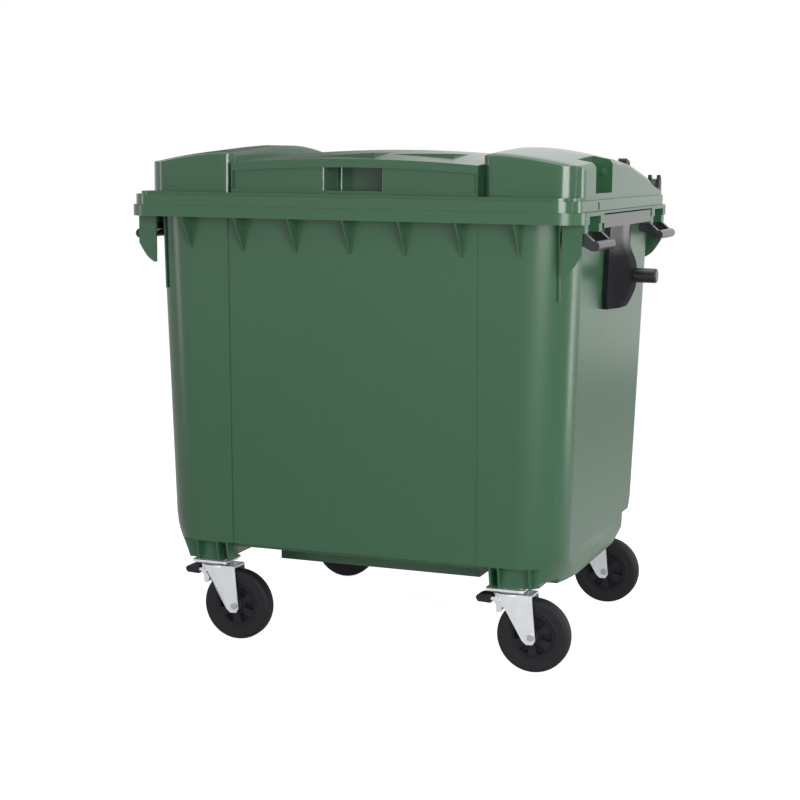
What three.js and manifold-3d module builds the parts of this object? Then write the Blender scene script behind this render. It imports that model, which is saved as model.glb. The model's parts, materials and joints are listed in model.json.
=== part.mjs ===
// A four-wheeled waste container with a flat hinged lid, lifting trunnions, hand grips and swivel castors.
// Millimetres. X runs along the long side, the front faces -Y, and Z is up from the ground.
import * as THREE from "three";
import { mergeVertices } from "three/addons/utils/BufferGeometryUtils.js";
import Module from "manifold-3d";

const wasm = await Module();
wasm.setup();

// Clearances
const SEAT_GAP = 0.3; // between pieces that rest on or in each other
const OVERLAP = 1; // how far joined pieces run into each other
const OVERRUN = 40; // how far a cutting solid runs past what it cuts

// How many sides the round pieces have
const SIDES = { wheel: 28, pin: 24, head: 20, bar: 16, stem: 12, bore: 10, hole: 8, nut: 6 };

// Wheels
const WHEEL = {
  radius: 100,
  treadHalf: 23,
  tyreWall: 38,
  rimWall: 7,
  bossRadius: 20,
  bossProud: 4, // of the tread, on each side
  faceSink: 5, // from the drum's edge to the spoke face
  webHalf: 4,
  pockets: 6,
  pocketMargin: 4,
  pocketHalfAngle: 20,
};
WHEEL.hubRadius = WHEEL.radius - WHEEL.tyreWall;
WHEEL.hubHalf = WHEEL.treadHalf - OVERLAP;
WHEEL.bossHalf = WHEEL.treadHalf + WHEEL.bossProud;

// Tub, as wide and as deep as it is at the rim's lower edge
const TUB = {
  halfX: 600,
  halfY: 480,
  taperX: 25, // how much further in the walls stand at the ledge
  taperY: 28,
  frontRadius: 124,
  rearRadius: 105,
  cornerSteps: 5,
  wall: 7,
  floor: 10,
  floorRise: 84, // from the castor seats
  panelInset: 245, // from the short walls to the recessed middle panel
  panelDepth: 2.5,
};
const FOOT = { halfX: TUB.halfX - TUB.taperX, halfY: TUB.halfY - TUB.taperY };
const PANEL_HALF = TUB.halfX - TUB.panelInset;

// Rim round the tub's mouth
const RIM = {
  overhangX: 36,
  overhangY: 58,
  radius: 70,
  top: 1217,
  plate: 6,
  apronHeight: 30,
  apronWall: 5,
};
RIM.halfX = TUB.halfX + RIM.overhangX;
RIM.halfY = TUB.halfY + RIM.overhangY;
RIM.bottom = RIM.top - RIM.apronHeight;
RIM.root = RIM.top - RIM.plate / 2; // where the pieces under the plate start

// Thin gussets under the long rims
const RIBS = { places: 7, endInset: 135, wall: 5, drop: 90 };

// Ears at the corners of the long walls, and the upright webs beside them
const EAR = { root: 26, reach: 26, drop: 75, toe: 127, curve: 45, wall: 6 };
const STRIP = { inset: 42, width: 8, depth: 3, drop: 200 };
// How an ear's toe curves: shares of its curve inwards and of its fall
const TOE_SHARES = [
  [0, 0],
  [0.3, 0.42],
  [0.62, 0.77],
  [1, 1],
];

// Castors, in their own frame: the swivel axis at the origin, trailing towards +X
const CASTOR = {
  insetX: 143.5, // from the foot's short walls to the swivel axis
  frontInset: 54,
  rearInset: 48,
  headroom: 28, // from the tyre's top to the castor seat
  trail: 70,
  plateEdgeX: 12,
  plateEdgeY: 23,
  plateWall: 6,
  plateRadius: 10,
  boltStep: 5, // from the race to the bolts, along X
  boltY: 30,
  kingRadius: 8,
  kingHeadWall: 4,
  kingHeadHeight: 5,
  raceRadius: 36,
  raceHeight: 9.4,
  raceBulge: 3.1,
};
CASTOR.x = FOOT.halfX - CASTOR.insetX;
CASTOR.frontY = CASTOR.frontInset - FOOT.halfY;
CASTOR.rearY = FOOT.halfY - CASTOR.rearInset;
CASTOR.boltX = CASTOR.raceRadius + CASTOR.boltStep;
CASTOR.plateBottom = 2 * WHEEL.radius + CASTOR.headroom - SEAT_GAP - CASTOR.plateWall;
CASTOR.raceBottom = CASTOR.plateBottom - SEAT_GAP - CASTOR.raceHeight;
CASTOR.forkTop = CASTOR.raceBottom - SEAT_GAP;

const FORK = { top: 6, wall: 4, sideGap: 3, headRadius: 43 };
FORK.halfWidth = WHEEL.bossHalf + FORK.sideGap + FORK.wall;
const AXLE = { radius: 6, head: 10, headHeight: 6, tail: 2 };
const BOLT = { radius: 5, head: 9, headHeight: 6.5, length: 36 };
const BRAKE = {
  standOff: 29.4, // from the tyre to the lever's pin
  pinDrop: 18.7, // from the fork's top
  pinRadius: 4,
  pinTail: 3,
  boss: 7,
  halfWidth: 20,
  pedalEdge: 2,
  tipReach: 68,
  heelReach: 26,
};

// Base: castor blocks, side skirts and the hollows between them
const BASE = {
  frontLedgeRise: 56,
  rearLedgeRise: 80,
  ledgeDepth: 12,
  blockReach: 65.5, // from the swivel axis to the block's inner face
  blockChamfer: 26,
  channelRise: 42,
  skirtWall: 9,
  pocketEnd: 207, // from the long walls
  rearCutEnd: 177,
  cornerCutEnd: 120,
  blockInset: 60, // from the short walls to the castor blocks
  cornerRise: 14,
  sumpGap: 66,
  sumpEnd: 205,
  sumpDrop: 25,
  sumpWall: 10,
  ribWall: 6,
};
BASE.seat = 2 * WHEEL.radius + CASTOR.headroom; // the plane that the castor plates bolt to
BASE.frontLedge = BASE.seat + BASE.frontLedgeRise;
BASE.rearLedge = BASE.seat + BASE.rearLedgeRise;
BASE.channelRoof = BASE.seat + BASE.channelRise;
BASE.cornerRoof = BASE.seat + BASE.cornerRise;
BASE.blockInner = CASTOR.x - BASE.blockReach;
BASE.floorTop = BASE.seat + TUB.floorRise;
BASE.sumpHalfX = BASE.blockInner - BASE.sumpGap;
BASE.sumpHalfY = FOOT.halfY - BASE.sumpEnd;

// Ribs on the faces of the front castor blocks, from the swivel axis in shares of the castor plate
const BLOCK_RIB_SHARES = { left: [-0.7, 0.47, 1.04], right: [-0.79, -0.34, 1.25] };

// Rings of the lower corners in shares of the floor's rise and of the tub's front corner radius
const LOWER_RING_SHARES = [
  { rise: 0, inset: 0.081, front: [0.766, 2.016], rear: [0.766, 2.016], round: 0.8 },
  { rise: 0.143, inset: 0.056, front: [0.806, 1.855], rear: [0.742, 1.855], round: 0.82 },
  { rise: 0.44, inset: 0.032, front: [0.871, 1.492], rear: [0.758, 1.331], round: 0.88 },
  { rise: 0.857, inset: 0.012, front: [0.968, 1.145], rear: [0.79, 0.927], round: 0.95 },
  { rise: 1.393, inset: 0, front: [1.032, 1.032], rear: [0.806, 0.806], round: 1 },
];
const LOWER_RINGS = LOWER_RING_SHARES.map((shares) => ({
  z: BASE.seat + shares.rise * TUB.floorRise,
  inset: shares.inset * TUB.frontRadius,
  front: shares.front.map((share) => share * TUB.frontRadius),
  rear: shares.rear.map((share) => share * TUB.frontRadius),
  roundShare: shares.round,
}));

// Lid
const LID = {
  insetX: 10, // from the rim's edge
  cornerStep: 4,
  skirtHeight: 28,
  stepInset: 14,
  stepHeight: 8,
  wall: 6,
  rise: 163.7, // from the lid's lower edge to the top of its hoods
  hoodGap: 2, // from the tub's panel to the hoods
  hoodInset: 13,
  hoodSetback: 81,
  hoodOuterRadius: 46,
  hoodInnerRadius: 24,
  lipSetback: 68,
  rearSetback: 20,
  sill: 8.7, // from the step to the floors of the recess and of the bays
  bayDepth: 52, // the bay in the flank between the front and the rear of a hood
  bayLength: 178,
  bayCentreShare: 0.381,
  recessMargin: 7,
  recessDepth: 7,
  recessHeight: 48,
  recessArch: 13,
  holdHalf: 79,
  holdDepth: 117,
  panelSteps: 10,
  roofSteps: 8,
  cornerSteps: 4,
};
LID.halfX = RIM.halfX - LID.insetX;
LID.halfY = RIM.halfY;
LID.radius = RIM.radius - LID.cornerStep;
LID.base = RIM.top + SEAT_GAP;
LID.skirtTop = LID.base + LID.skirtHeight;
LID.stepTop = LID.skirtTop + LID.stepHeight;
LID.hoodInner = PANEL_HALF - LID.hoodGap;
LID.hoodOuter = LID.halfX - LID.hoodInset;
LID.hoodFront = LID.hoodSetback - LID.halfY;
LID.lipFront = LID.lipSetback - LID.halfY;
LID.back = LID.halfY - LID.rearSetback;
LID.floor = LID.stepTop + LID.sill;

// Lid stations in shares: from the front to the back, and the heights over the lid's lower edge
const HOOD_SHARES = [
  { along: 0, inner: 0.786, outer: 0.615 },
  { along: 0.005, inner: 0.847, outer: 0.676 },
  { along: 0.017, inner: 0.878, outer: 0.707 },
  { along: 0.161, inner: 0.939, outer: 0.768 },
  { along: 0.35, inner: 1, outer: 0.829 },
  { along: 0.489, inner: 1, outer: 0.785 },
  { along: 0.602, inner: 0.951, outer: 0.725 },
  { along: 0.695, inner: 0.878, outer: 0.64 },
  { along: 0.806, inner: 0.745, outer: 0.53 },
  { along: 0.908, inner: 0.545, outer: 0.39 },
  { along: 0.982, inner: 0.346, outer: 0.285 },
  { along: 1, inner: 0.261, outer: 0.243 },
];
const PANEL_SHARES = [
  { along: 0, middle: 0.78, edge: 0.695 },
  { along: 0.142, middle: 0.86, edge: 0.762 },
  { along: 0.358, middle: 0.933, edge: 0.823 },
  { along: 0.536, middle: 0.927, edge: 0.811 },
  { along: 0.699, middle: 0.811, edge: 0.701 },
  { along: 0.809, middle: 0.676, edge: 0.579 },
  { along: 0.909, middle: 0.493, edge: 0.42 },
  { along: 0.982, middle: 0.322, edge: 0.273 },
  { along: 1, middle: 0.249, edge: 0.236 },
];
// How a hood's cross-section runs: shares of its width, and of the fall from its inner to its outer edge
const CROWN_SHARES = [0, 0.02, 0.07, 0.2, 0.45, 0.7, 0.9, 0.97, 1];
const FALL_SHARES = [0.45, 0.12, 0.01, 0, 0.24, 0.6, 0.97, 1.12, 1.5];

// Lifting trunnions
const TRUNNION = {
  drop: 183, // from the rim's top to the pins
  pinRadius: 20,
  pinReach: 82, // from the rim's edge
  socket: 30,
  chamfer: 3,
  stripEnd: 200, // from the long walls
  stripInset: 2,
  stripWall: 7,
  stripDrop: 10,
  stripHeight: 34,
  neckHalf: 122,
  footHalf: 110,
  footDrop: 88,
  noseReach: 16,
  noseHalf: 36,
};
TRUNNION.height = RIM.top - TRUNNION.drop;
TRUNNION.bottom = TRUNNION.height - TRUNNION.footDrop;
TRUNNION.stripHalf = TUB.halfY - TRUNNION.stripEnd;
TRUNNION.stripOuter = RIM.halfX - TRUNNION.stripInset;
TRUNNION.stripTop = RIM.top - TRUNNION.stripDrop;
TRUNNION.noseX = RIM.halfX + TRUNNION.noseReach;
TRUNNION.tip = RIM.halfX + TRUNNION.pinReach;

// Hand grips on the short sides
const GRIP = {
  leftInset: 152, // from the long walls to the grips' middles
  rightInset: 102,
  armPitch: 156,
  armWall: 20,
  barReach: 20, // from the rim's edge
  barDrop: 83,
  barRadius: 13,
  plateWall: 6,
  drop: 52,
};
GRIP.barX = RIM.halfX + GRIP.barReach;
GRIP.barZ = RIM.top - GRIP.barDrop;
GRIP.top = RIM.top - GRIP.drop;
const POST = { width: 34, inset: 4, windowRise: 20 };

// Hinges at the rear rim
const HINGE = {
  overhang: 7, // from the rim's edge to the pin
  rise: 45,
  inset: 50, // from the rim's short edges
  halfWidth: 18,
  cheek: 9,
  lugHalf: 7,
  lugRadius: 12,
  lugRise: 30,
  pinRadius: 7,
  pinOverhang: 2.5,
  notchMargin: 5,
  notchDepth: 47,
  cheekRise: 42,
};
HINGE.y = RIM.halfY + HINGE.overhang;
HINGE.z = RIM.top + HINGE.rise;
HINGE.middle = RIM.halfX - HINGE.inset;
HINGE.top = HINGE.z + HINGE.cheekRise;

// Buffers on the rear slopes of the hoods
const BUFFER = { inset: 37, halfWidth: 12, frontShare: 0.622, rearShare: 0.672, rise: 16, edge: 6 };

const FINISH = {
  green: { color: 0x3f6b4a, roughness: 0.38, metalness: 0 },
  black: { color: 0x1b1b1d, roughness: 0.35, metalness: 0 },
  rubber: { color: 0x222224, roughness: 0.75, metalness: 0 },
  hub: { color: 0x18181a, roughness: 0.55, metalness: 0 },
  zinc: { color: 0xc4c9cd, roughness: 0.35, metalness: 1 },
  steel: { color: 0xa9adb0, roughness: 0.4, metalness: 1 },
};

const BOTH = [-1, 1];

const radians = THREE.MathUtils.degToRad;
const container = new THREE.Group();

// A closed geometry as a solid that can be joined and cut.
function solid(geometry) {
  const bare = geometry.index ? geometry.toNonIndexed() : geometry.clone();
  const points = new THREE.BufferGeometry();
  points.setAttribute("position", bare.getAttribute("position"));
  const merged = mergeVertices(points, 1e-3);
  return new wasm.Manifold(
    new wasm.Mesh({
      numProp: 3,
      vertProperties: new Float32Array(merged.attributes.position.array),
      triVerts: new Uint32Array(merged.index.array),
    }),
  );
}

// Adds a solid to the container as one named sub-part.
function addPart(name, shape, finish, place = new THREE.Vector3()) {
  const data = shape.getMesh();
  const geometry = new THREE.BufferGeometry();
  geometry.setAttribute("position", new THREE.BufferAttribute(data.vertProperties, data.numProp));
  geometry.setIndex(new THREE.BufferAttribute(data.triVerts, 1));
  geometry.computeVertexNormals();
  const mesh = new THREE.Mesh(geometry, new THREE.MeshStandardMaterial(finish));
  mesh.name = name;
  mesh.position.copy(place);
  container.add(mesh);
  return mesh;
}

function joined(shapes) {
  return shapes.reduce((whole, shape) => whole.add(shape));
}

function without(shape, cuts) {
  return cuts.reduce((left, cut) => left.subtract(cut), shape);
}

// A box between two corners, given in either order.
function block(x0, x1, y0, y1, z0, z1) {
  const size = new THREE.Vector3(Math.abs(x1 - x0), Math.abs(y1 - y0), Math.abs(z1 - z0));
  const box = new THREE.BoxGeometry(size.x, size.y, size.z);
  box.translate((x0 + x1) / 2, (y0 + y1) / 2, (z0 + z1) / 2);
  return solid(box);
}

// An outline [u, v] pushed along one axis: X takes it as [y, z], Y as [x, z] and Z as [x, y].
function prism(axis, outline, from, to, holes = []) {
  const shape = new THREE.Shape(outline.map(([u, v]) => new THREE.Vector2(u, v)));
  holes.forEach((hole) =>
    shape.holes.push(new THREE.Path(hole.map(([u, v]) => new THREE.Vector2(u, v)))),
  );
  const low = Math.min(from, to);
  const depth = Math.abs(to - from);
  const made = new THREE.ExtrudeGeometry(shape, { depth, bevelEnabled: false });
  const turn = new THREE.Matrix4();
  if (axis === "X") turn.makeBasis(unit(1), unit(2), unit(0));
  if (axis === "Y") turn.makeBasis(unit(0), unit(2), unit(1).negate());
  if (axis === "Y") made.translate(0, 0, -low - depth);
  else made.translate(0, 0, low);
  made.applyMatrix4(turn);
  return solid(made);
}

function unit(index) {
  return new THREE.Vector3().setComponent(index, 1);
}

// A round bar along an axis between two stations.
function rod(axis, radius, from, to, centre, sides = SIDES.head, endRadius = radius) {
  const length = Math.abs(to - from);
  const bar = new THREE.CylinderGeometry(endRadius, radius, length, sides);
  if (axis === "X") bar.rotateZ(-Math.PI / 2);
  if (axis === "Z") bar.rotateX(Math.PI / 2);
  const middle = (from + to) / 2;
  if (axis === "X") bar.translate(middle, centre[0], centre[1]);
  if (axis === "Y") bar.translate(centre[0], middle, centre[1]);
  if (axis === "Z") bar.translate(centre[0], centre[1], middle);
  return solid(bar);
}

// A profile [radius, height] turned about an axis: Z, or Y for wheels.
function turned(profile, segments, axis, startAngle = 0) {
  const points = profile.map(([r, h]) => new THREE.Vector2(r, h));
  const lathe = new THREE.LatheGeometry(points, segments, startAngle);
  if (axis === "Z") lathe.rotateX(Math.PI / 2);
  return solid(lathe);
}

// A closed skin through rings of points that all have as many points, capped at both ends.
function loft(rings) {
  const count = rings[0].length;
  const position = rings.flat().flatMap((p) => p.toArray());
  const index = [];
  for (let r = 0; r + 1 < rings.length; r++)
    for (let i = 0; i < count; i++) {
      const a = r * count + i;
      const b = r * count + ((i + 1) % count);
      index.push(a, b, b + count, a, b + count, a + count);
    }
  const first = rings[0].map((p, i) => i);
  const last = first.map((i) => (rings.length - 1) * count + i);
  capTriangles(rings[0]).forEach(([a, b, c]) => index.push(first[c], first[b], first[a]));
  capTriangles(rings.at(-1)).forEach(([a, b, c]) => index.push(last[a], last[b], last[c]));
  const skin = new THREE.BufferGeometry();
  skin.setAttribute("position", new THREE.Float32BufferAttribute(position, 3));
  skin.setIndex(index);
  const made = solid(skin);
  if (made.volume() > 0) return made;
  for (let i = 0; i < index.length; i += 3) [index[i], index[i + 1]] = [index[i + 1], index[i]];
  skin.setIndex(index);
  return solid(skin);
}

// Triangles over a flat ring, in the ring's own order.
function capTriangles(ring) {
  const flatAlongZ = ring.every((p) => p.z === ring[0].z);
  const flat = ring.map((p) => new THREE.Vector2(p.x, flatAlongZ ? p.y : p.z));
  const faces = THREE.ShapeUtils.triangulateShape(flat, []);
  return THREE.ShapeUtils.isClockWise(flat) ? faces.map(([a, b, c]) => [a, c, b]) : faces;
}

// A rectangle with elliptic corners, blended towards straight chamfers as roundShare falls.
function cornered(halfX, halfY, front, rear, steps, roundShare = 1) {
  const points = [];
  for (let quarter = 0; quarter < 4; quarter++)
    for (let step = 0; step <= steps; step++) {
      const angle = ((quarter + step / steps) * Math.PI) / 2;
      const across = Math.cos(angle);
      const along = Math.sin(angle);
      const sum = Math.abs(across) + Math.abs(along);
      const cutX = THREE.MathUtils.lerp(across / sum, across, roundShare);
      const cutY = THREE.MathUtils.lerp(along / sum, along, roundShare);
      const signX = quarter === 0 || quarter === 3 ? 1 : -1;
      const signY = quarter < 2 ? 1 : -1;
      const [reachX, reachY] = signY > 0 ? rear : front;
      points.push([signX * (halfX - reachX) + cutX * reachX, signY * (halfY - reachY) + cutY * reachY]);
    }
  return points;
}

function rounded(halfX, halfY, radius, steps = TUB.cornerSteps) {
  return cornered(halfX, halfY, [radius, radius], [radius, radius], steps);
}

function ringAt(outline, z) {
  return outline.map(([x, y]) => new THREE.Vector3(x, y, z));
}

// How far the walls stand out at a height: they lean outwards from the ledge to the rim.
function wallX(z) {
  const share = (z - BASE.frontLedge) / (RIM.bottom - BASE.frontLedge);
  return THREE.MathUtils.lerp(FOOT.halfX, TUB.halfX, share);
}

function wallY(z) {
  const share = (z - BASE.frontLedge) / (RIM.bottom - BASE.frontLedge);
  return THREE.MathUtils.lerp(FOOT.halfY, TUB.halfY, share);
}

// The tub's outline at a height above the lower rings, moved outwards by a margin.
function tubOutline(z, margin) {
  const front = TUB.frontRadius + margin;
  const rear = TUB.rearRadius + margin;
  return cornered(wallX(z) + margin, wallY(z) + margin, [front, front], [rear, rear], TUB.cornerSteps);
}

// The tub's outer form grown by a margin, which other pieces are cut with.
function tubForm(margin = 0) {
  const grown = (reaches) => reaches.map((reach) => reach + margin);
  const lower = LOWER_RINGS.map((ring) =>
    ringAt(
      cornered(
        wallX(ring.z) - ring.inset + margin,
        wallY(ring.z) + margin,
        grown(ring.front),
        grown(ring.rear),
        TUB.cornerSteps,
        ring.roundShare,
      ),
      ring.z,
    ),
  );
  const top = RIM.root;
  return loft([...lower, ringAt(tubOutline(top, margin), top)]);
}

function tubHollow() {
  const low = BASE.floorTop;
  const high = RIM.top + OVERRUN;
  return loft([low, high].map((z) => ringAt(tubOutline(z, -TUB.wall), z)));
}

function rimPlate() {
  const edge = rounded(RIM.halfX, RIM.halfY, RIM.radius);
  const gap = RIM.apronWall;
  const inside = rounded(RIM.halfX - gap, RIM.halfY - gap, RIM.radius - gap);
  const plate = prism("Z", edge, RIM.top - RIM.plate, RIM.top);
  const apron = prism("Z", edge, RIM.bottom, RIM.top, [inside]);
  const strip = TRUNNION.stripHalf + BASE.ribWall;
  const windows = BOTH.flatMap((side) => [
    apronWindow(side, -strip, strip, RIM.root),
    ...BOTH.map((end) => {
      const [near, far] = postPlaces(side);
      const reach = POST.width / 2;
      return apronWindow(side, end * (near + reach), end * (far - reach), RIM.bottom + POST.windowRise);
    }),
  ]);
  return without(apron, windows).add(plate);
}

// An opening in the apron of a short side, over the trunnion's strip or over a grip.
function apronWindow(side, from, to, high) {
  const inner = RIM.halfX - RIM.apronWall - OVERRUN / 4;
  return block(side * inner, side * (RIM.halfX + OVERRUN), from, to, RIM.bottom - OVERRUN, high);
}

// One thin gusset under the long rim.
function rimRib(x, side) {
  const out = RIM.halfY - RIM.apronWall / 2;
  const foot = wallY(RIM.bottom - RIBS.drop);
  const root = foot - TUB.wall / 2;
  const outline = [
    [side * root, RIM.root],
    [side * out, RIM.root],
    [side * out, RIM.bottom],
    [side * foot, RIM.bottom - RIBS.drop],
    [side * root, RIM.bottom - RIBS.drop],
  ];
  return prism("X", outline, x - RIBS.wall / 2, x + RIBS.wall / 2);
}

// The flat ear that stands out at a corner, in line with the long wall.
function ear(sideX, sideY) {
  const root = TUB.halfX - EAR.root;
  const out = TUB.halfX + EAR.reach;
  const outline = [
    [sideX * root, RIM.root],
    [sideX * out, RIM.root],
    ...TOE_SHARES.map(([across, down]) => [
      sideX * (out - across * EAR.curve),
      RIM.bottom - EAR.drop - down * (EAR.toe - EAR.drop),
    ]),
    [sideX * root, RIM.bottom - EAR.toe],
  ];
  const face = wallY(RIM.bottom - EAR.toe) - TUB.wall / 4;
  return prism("Y", outline, sideY * face, sideY * (face - EAR.wall));
}

// The upright web that ties an ear's side of the corner to the rim.
function cornerStrip(sideX, sideY) {
  const inner = TUB.halfX - STRIP.inset;
  const low = RIM.bottom - STRIP.drop;
  const root = wallY(low) - TUB.frontRadius / 2;
  const outline = [
    [sideY * root, low],
    [sideY * root, RIM.root],
    [sideY * (wallY(RIM.bottom) + STRIP.depth), RIM.root],
    [sideY * (wallY(RIM.bottom) + STRIP.depth), RIM.bottom - EAR.toe],
    [sideY * (wallY(low) - TUB.rearRadius / 4), low],
  ];
  return prism("X", outline, sideX * inner, sideX * (inner + STRIP.width));
}

function gripMiddle(sideX) {
  return TUB.halfY - (sideX < 0 ? GRIP.leftInset : GRIP.rightInset);
}

// Where the two posts of a grip stand, from the middle along Y: never under the trunnion's strip.
function postPlaces(sideX) {
  const nearest = TRUNNION.stripHalf + 2 * BASE.ribWall + POST.width / 2;
  return BOTH.map((end) => Math.max(gripMiddle(sideX) + (end * GRIP.armPitch) / 2, nearest));
}

// The two posts under the rim that hold one grip.
function gripPosts(sideX, sideY) {
  const half = POST.width / 2;
  const low = GRIP.top + SEAT_GAP;
  return postPlaces(sideX).map((place) =>
    block(
      sideX * (wallX(low) - TUB.wall / 2),
      sideX * (RIM.halfX - POST.inset),
      sideY * (place - half),
      sideY * (place + half),
      low,
      RIM.root,
    ),
  );
}

// What is taken away under the floor: the channel, the pockets, the ledges and the rear corners.
function baseCuts() {
  const low = BASE.seat - OVERRUN;
  const far = RIM.halfX + OVERRUN;
  const back = BASE.channelRoof;
  const roof = BASE.floorTop - TUB.floor;
  const inner = BASE.blockInner;
  const pocketHalf = FOOT.halfY - BASE.pocketEnd;
  const rearCut = FOOT.halfY - BASE.rearCutEnd;
  const cornerCut = FOOT.halfY - BASE.cornerCutEnd;
  const blockOuter = FOOT.halfX - BASE.blockInset;
  const channel = [
    [-inner - BASE.blockChamfer - (back - BASE.seat), low],
    [inner + BASE.blockChamfer + (back - BASE.seat), low],
    [inner + BASE.blockChamfer, BASE.seat],
    [inner, back],
    [-inner, back],
    [-inner - BASE.blockChamfer, BASE.seat],
  ];
  const pan = inner - BASE.skirtWall;
  const depth = wallY(BASE.seat) - BASE.ledgeDepth - BASE.skirtWall;
  const ledge = wallY(BASE.seat) - BASE.ledgeDepth;
  const cuts = [
    prism("Y", channel, -RIM.halfY, RIM.halfY),
    block(-pan, pan, -depth, depth, low, roof),
    block(-far, far, -ledge, -far, low, BASE.frontLedge),
    block(-far, far, ledge, far, low, BASE.rearLedge),
  ];
  BOTH.forEach((side) => {
    const skirt = wallX(BASE.seat) - LOWER_RINGS[0].inset - BASE.skirtWall;
    const start = inner + BASE.blockChamfer + BASE.skirtWall;
    cuts.push(block(side * start, side * skirt, -pocketHalf, pocketHalf, low, roof));
    const corner = [
      [side * wallX(BASE.rearLedge), rearCut],
      [side * far, rearCut],
      [side * far, far],
      [side * blockOuter, far],
      [side * blockOuter, ledge],
    ];
    cuts.push(prism("Z", corner, low, BASE.rearLedge));
    cuts.push(block(side * blockOuter, side * far, -cornerCut, -far, low, BASE.cornerRoof));
  });
  return cuts;
}

// The upright ribs on the faces of the front castor blocks.
function blockRibs() {
  const face = wallY(BASE.seat) - BASE.ledgeDepth;
  const outline = [
    [-face + TUB.frontRadius / 2, BASE.seat],
    [-face - BASE.ledgeDepth / 2, BASE.seat],
    [-wallY(BASE.frontLedge) + OVERLAP, BASE.frontLedge],
    [-face + TUB.frontRadius / 2, BASE.frontLedge],
  ];
  const plateHalf = CASTOR.boltX + CASTOR.plateEdgeX;
  return BOTH.flatMap((side) =>
    (side < 0 ? BLOCK_RIB_SHARES.left : BLOCK_RIB_SHARES.right).map((share) => {
      const x = side * CASTOR.x + share * plateHalf;
      return prism("X", outline, x - BASE.ribWall / 2, x + BASE.ribWall / 2);
    }),
  );
}

// The sump in the middle of the floor: a shallow pan that hangs below it.
function sump(inset) {
  const low = BASE.seat - BASE.sumpDrop + inset;
  const halfX = BASE.sumpHalfX - inset;
  const halfY = BASE.sumpHalfY - inset;
  const top = BASE.floorTop + (inset > 0 ? OVERRUN : -SEAT_GAP);
  return block(-halfX, halfX, -halfY, halfY, low, top);
}

// The shallow recess that runs down the middle of a long wall.
function panelCut(side) {
  const low = BASE.seat - OVERRUN;
  const high = RIM.bottom - SEAT_GAP;
  const outline = [
    [side * (wallY(low) - TUB.panelDepth), low],
    [side * (wallY(low) + OVERRUN), low],
    [side * (wallY(high) + OVERRUN), high],
    [side * (wallY(high) - TUB.panelDepth), high],
  ];
  return prism("X", outline, -PANEL_HALF, PANEL_HALF);
}

function castorSeats() {
  return [
    { name: "front_left", x: -CASTOR.x, y: CASTOR.frontY, brake: true },
    { name: "front_right", x: CASTOR.x, y: CASTOR.frontY, brake: true },
    { name: "rear_left", x: -CASTOR.x, y: CASTOR.rearY, brake: false },
    { name: "rear_right", x: CASTOR.x, y: CASTOR.rearY, brake: false },
  ];
}

function boltPlaces() {
  return BOTH.flatMap((u) => BOTH.map((v) => [u * CASTOR.boltX, v * CASTOR.boltY]));
}

function boltHoles() {
  const top = boltBottom() + BOLT.headHeight + BOLT.length + OVERLAP;
  return castorSeats().flatMap((seat) =>
    boltPlaces().map(([u, v]) =>
      rod("Z", BOLT.radius + SEAT_GAP, BASE.seat - OVERLAP, top, [seat.x + u, seat.y + v], SIDES.hole),
    ),
  );
}

function containerBody() {
  const sides = BOTH;
  const gussetEnd = TUB.halfX - RIBS.endInset;
  const gussetPitch = (2 * gussetEnd) / (RIBS.places - 1);
  const shell = without(tubForm(), [panelCut(-1), panelCut(1), ...baseCuts()]);
  const trims = [];
  sides.forEach((y) => {
    for (let place = 0; place < RIBS.places; place++)
      trims.push(rimRib(-gussetEnd + place * gussetPitch, y));
    sides.forEach((x) => trims.push(ear(x, y), cornerStrip(x, y), ...gripPosts(x, y)));
  });
  const whole = joined([shell, rimPlate(), sump(0), ...blockRibs(), ...trims]);
  return without(whole, [tubHollow(), sump(BASE.sumpWall), ...boltHoles()]);
}

// Stations along the lid in millimetres, the first and the last moved inwards by inset.
function stations(shares, front, inset) {
  return shares.map((share, i) => {
    const shift = i === 0 ? inset : i === shares.length - 1 ? -inset : 0;
    const heights = Object.entries(share).map(([name, part]) => [name, LID.base + part * LID.rise]);
    return { ...Object.fromEntries(heights), y: THREE.MathUtils.lerp(front, LID.back, share.along) + shift };
  });
}

// A cross-section of one hood: inner foot, rounded shoulders, a crowned top and the outer foot.
function hoodRing(side, station, inset) {
  const inner = LID.hoodInner + inset;
  const outer = LID.hoodOuter - inset;
  const high = station.inner - inset;
  const low = station.outer - inset;
  const foot = LID.base;
  const crown = CROWN_SHARES.map((share, i) => {
    const z = high - (high - low) * FALL_SHARES[i];
    return [inner + share * (outer - inner), Math.max(z, foot + LID.wall + i * SEAT_GAP)];
  });
  const points = [[inner, foot], ...crown, [outer, foot]];
  return points.map(([x, z]) => new THREE.Vector3(side * x, station.y, z));
}

function hood(side, inset) {
  const along = stations(HOOD_SHARES, LID.hoodFront, inset);
  const form = loft(along.map((station) => hoodRing(side, station, inset)));
  return form.intersect(prism("Z", hoodPlan(side, inset), RIM.top - OVERRUN, RIM.top + LID.halfY));
}

// A hood's outline from above, rounded at its two front corners.
function hoodPlan(side, inset) {
  const front = LID.hoodFront + inset;
  const back = RIM.halfY + OVERRUN;
  const outer = LID.hoodOuter - inset;
  const inner = LID.hoodInner + inset;
  const arc = (x, radius, turn) => cornerArc(x, front, Math.max(radius - inset, LID.wall / 2), turn);
  const plan = [[inner, back], ...arc(inner, LID.hoodInnerRadius, 1)];
  plan.push(...arc(outer, LID.hoodOuterRadius, -1).toReversed(), [outer, back]);
  return plan.map(([x, y]) => [side * x, y]);
}

// Points round a front corner at x, whose centre lies at turn radii along X.
function cornerArc(x, front, radius, turn) {
  const points = [];
  for (let step = 0; step <= LID.cornerSteps; step++) {
    const angle = (step / LID.cornerSteps) * (Math.PI / 2);
    const across = x + turn * radius * (1 - Math.cos(angle));
    points.push([across, front + radius * (1 - Math.sin(angle))]);
  }
  return points;
}

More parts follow.
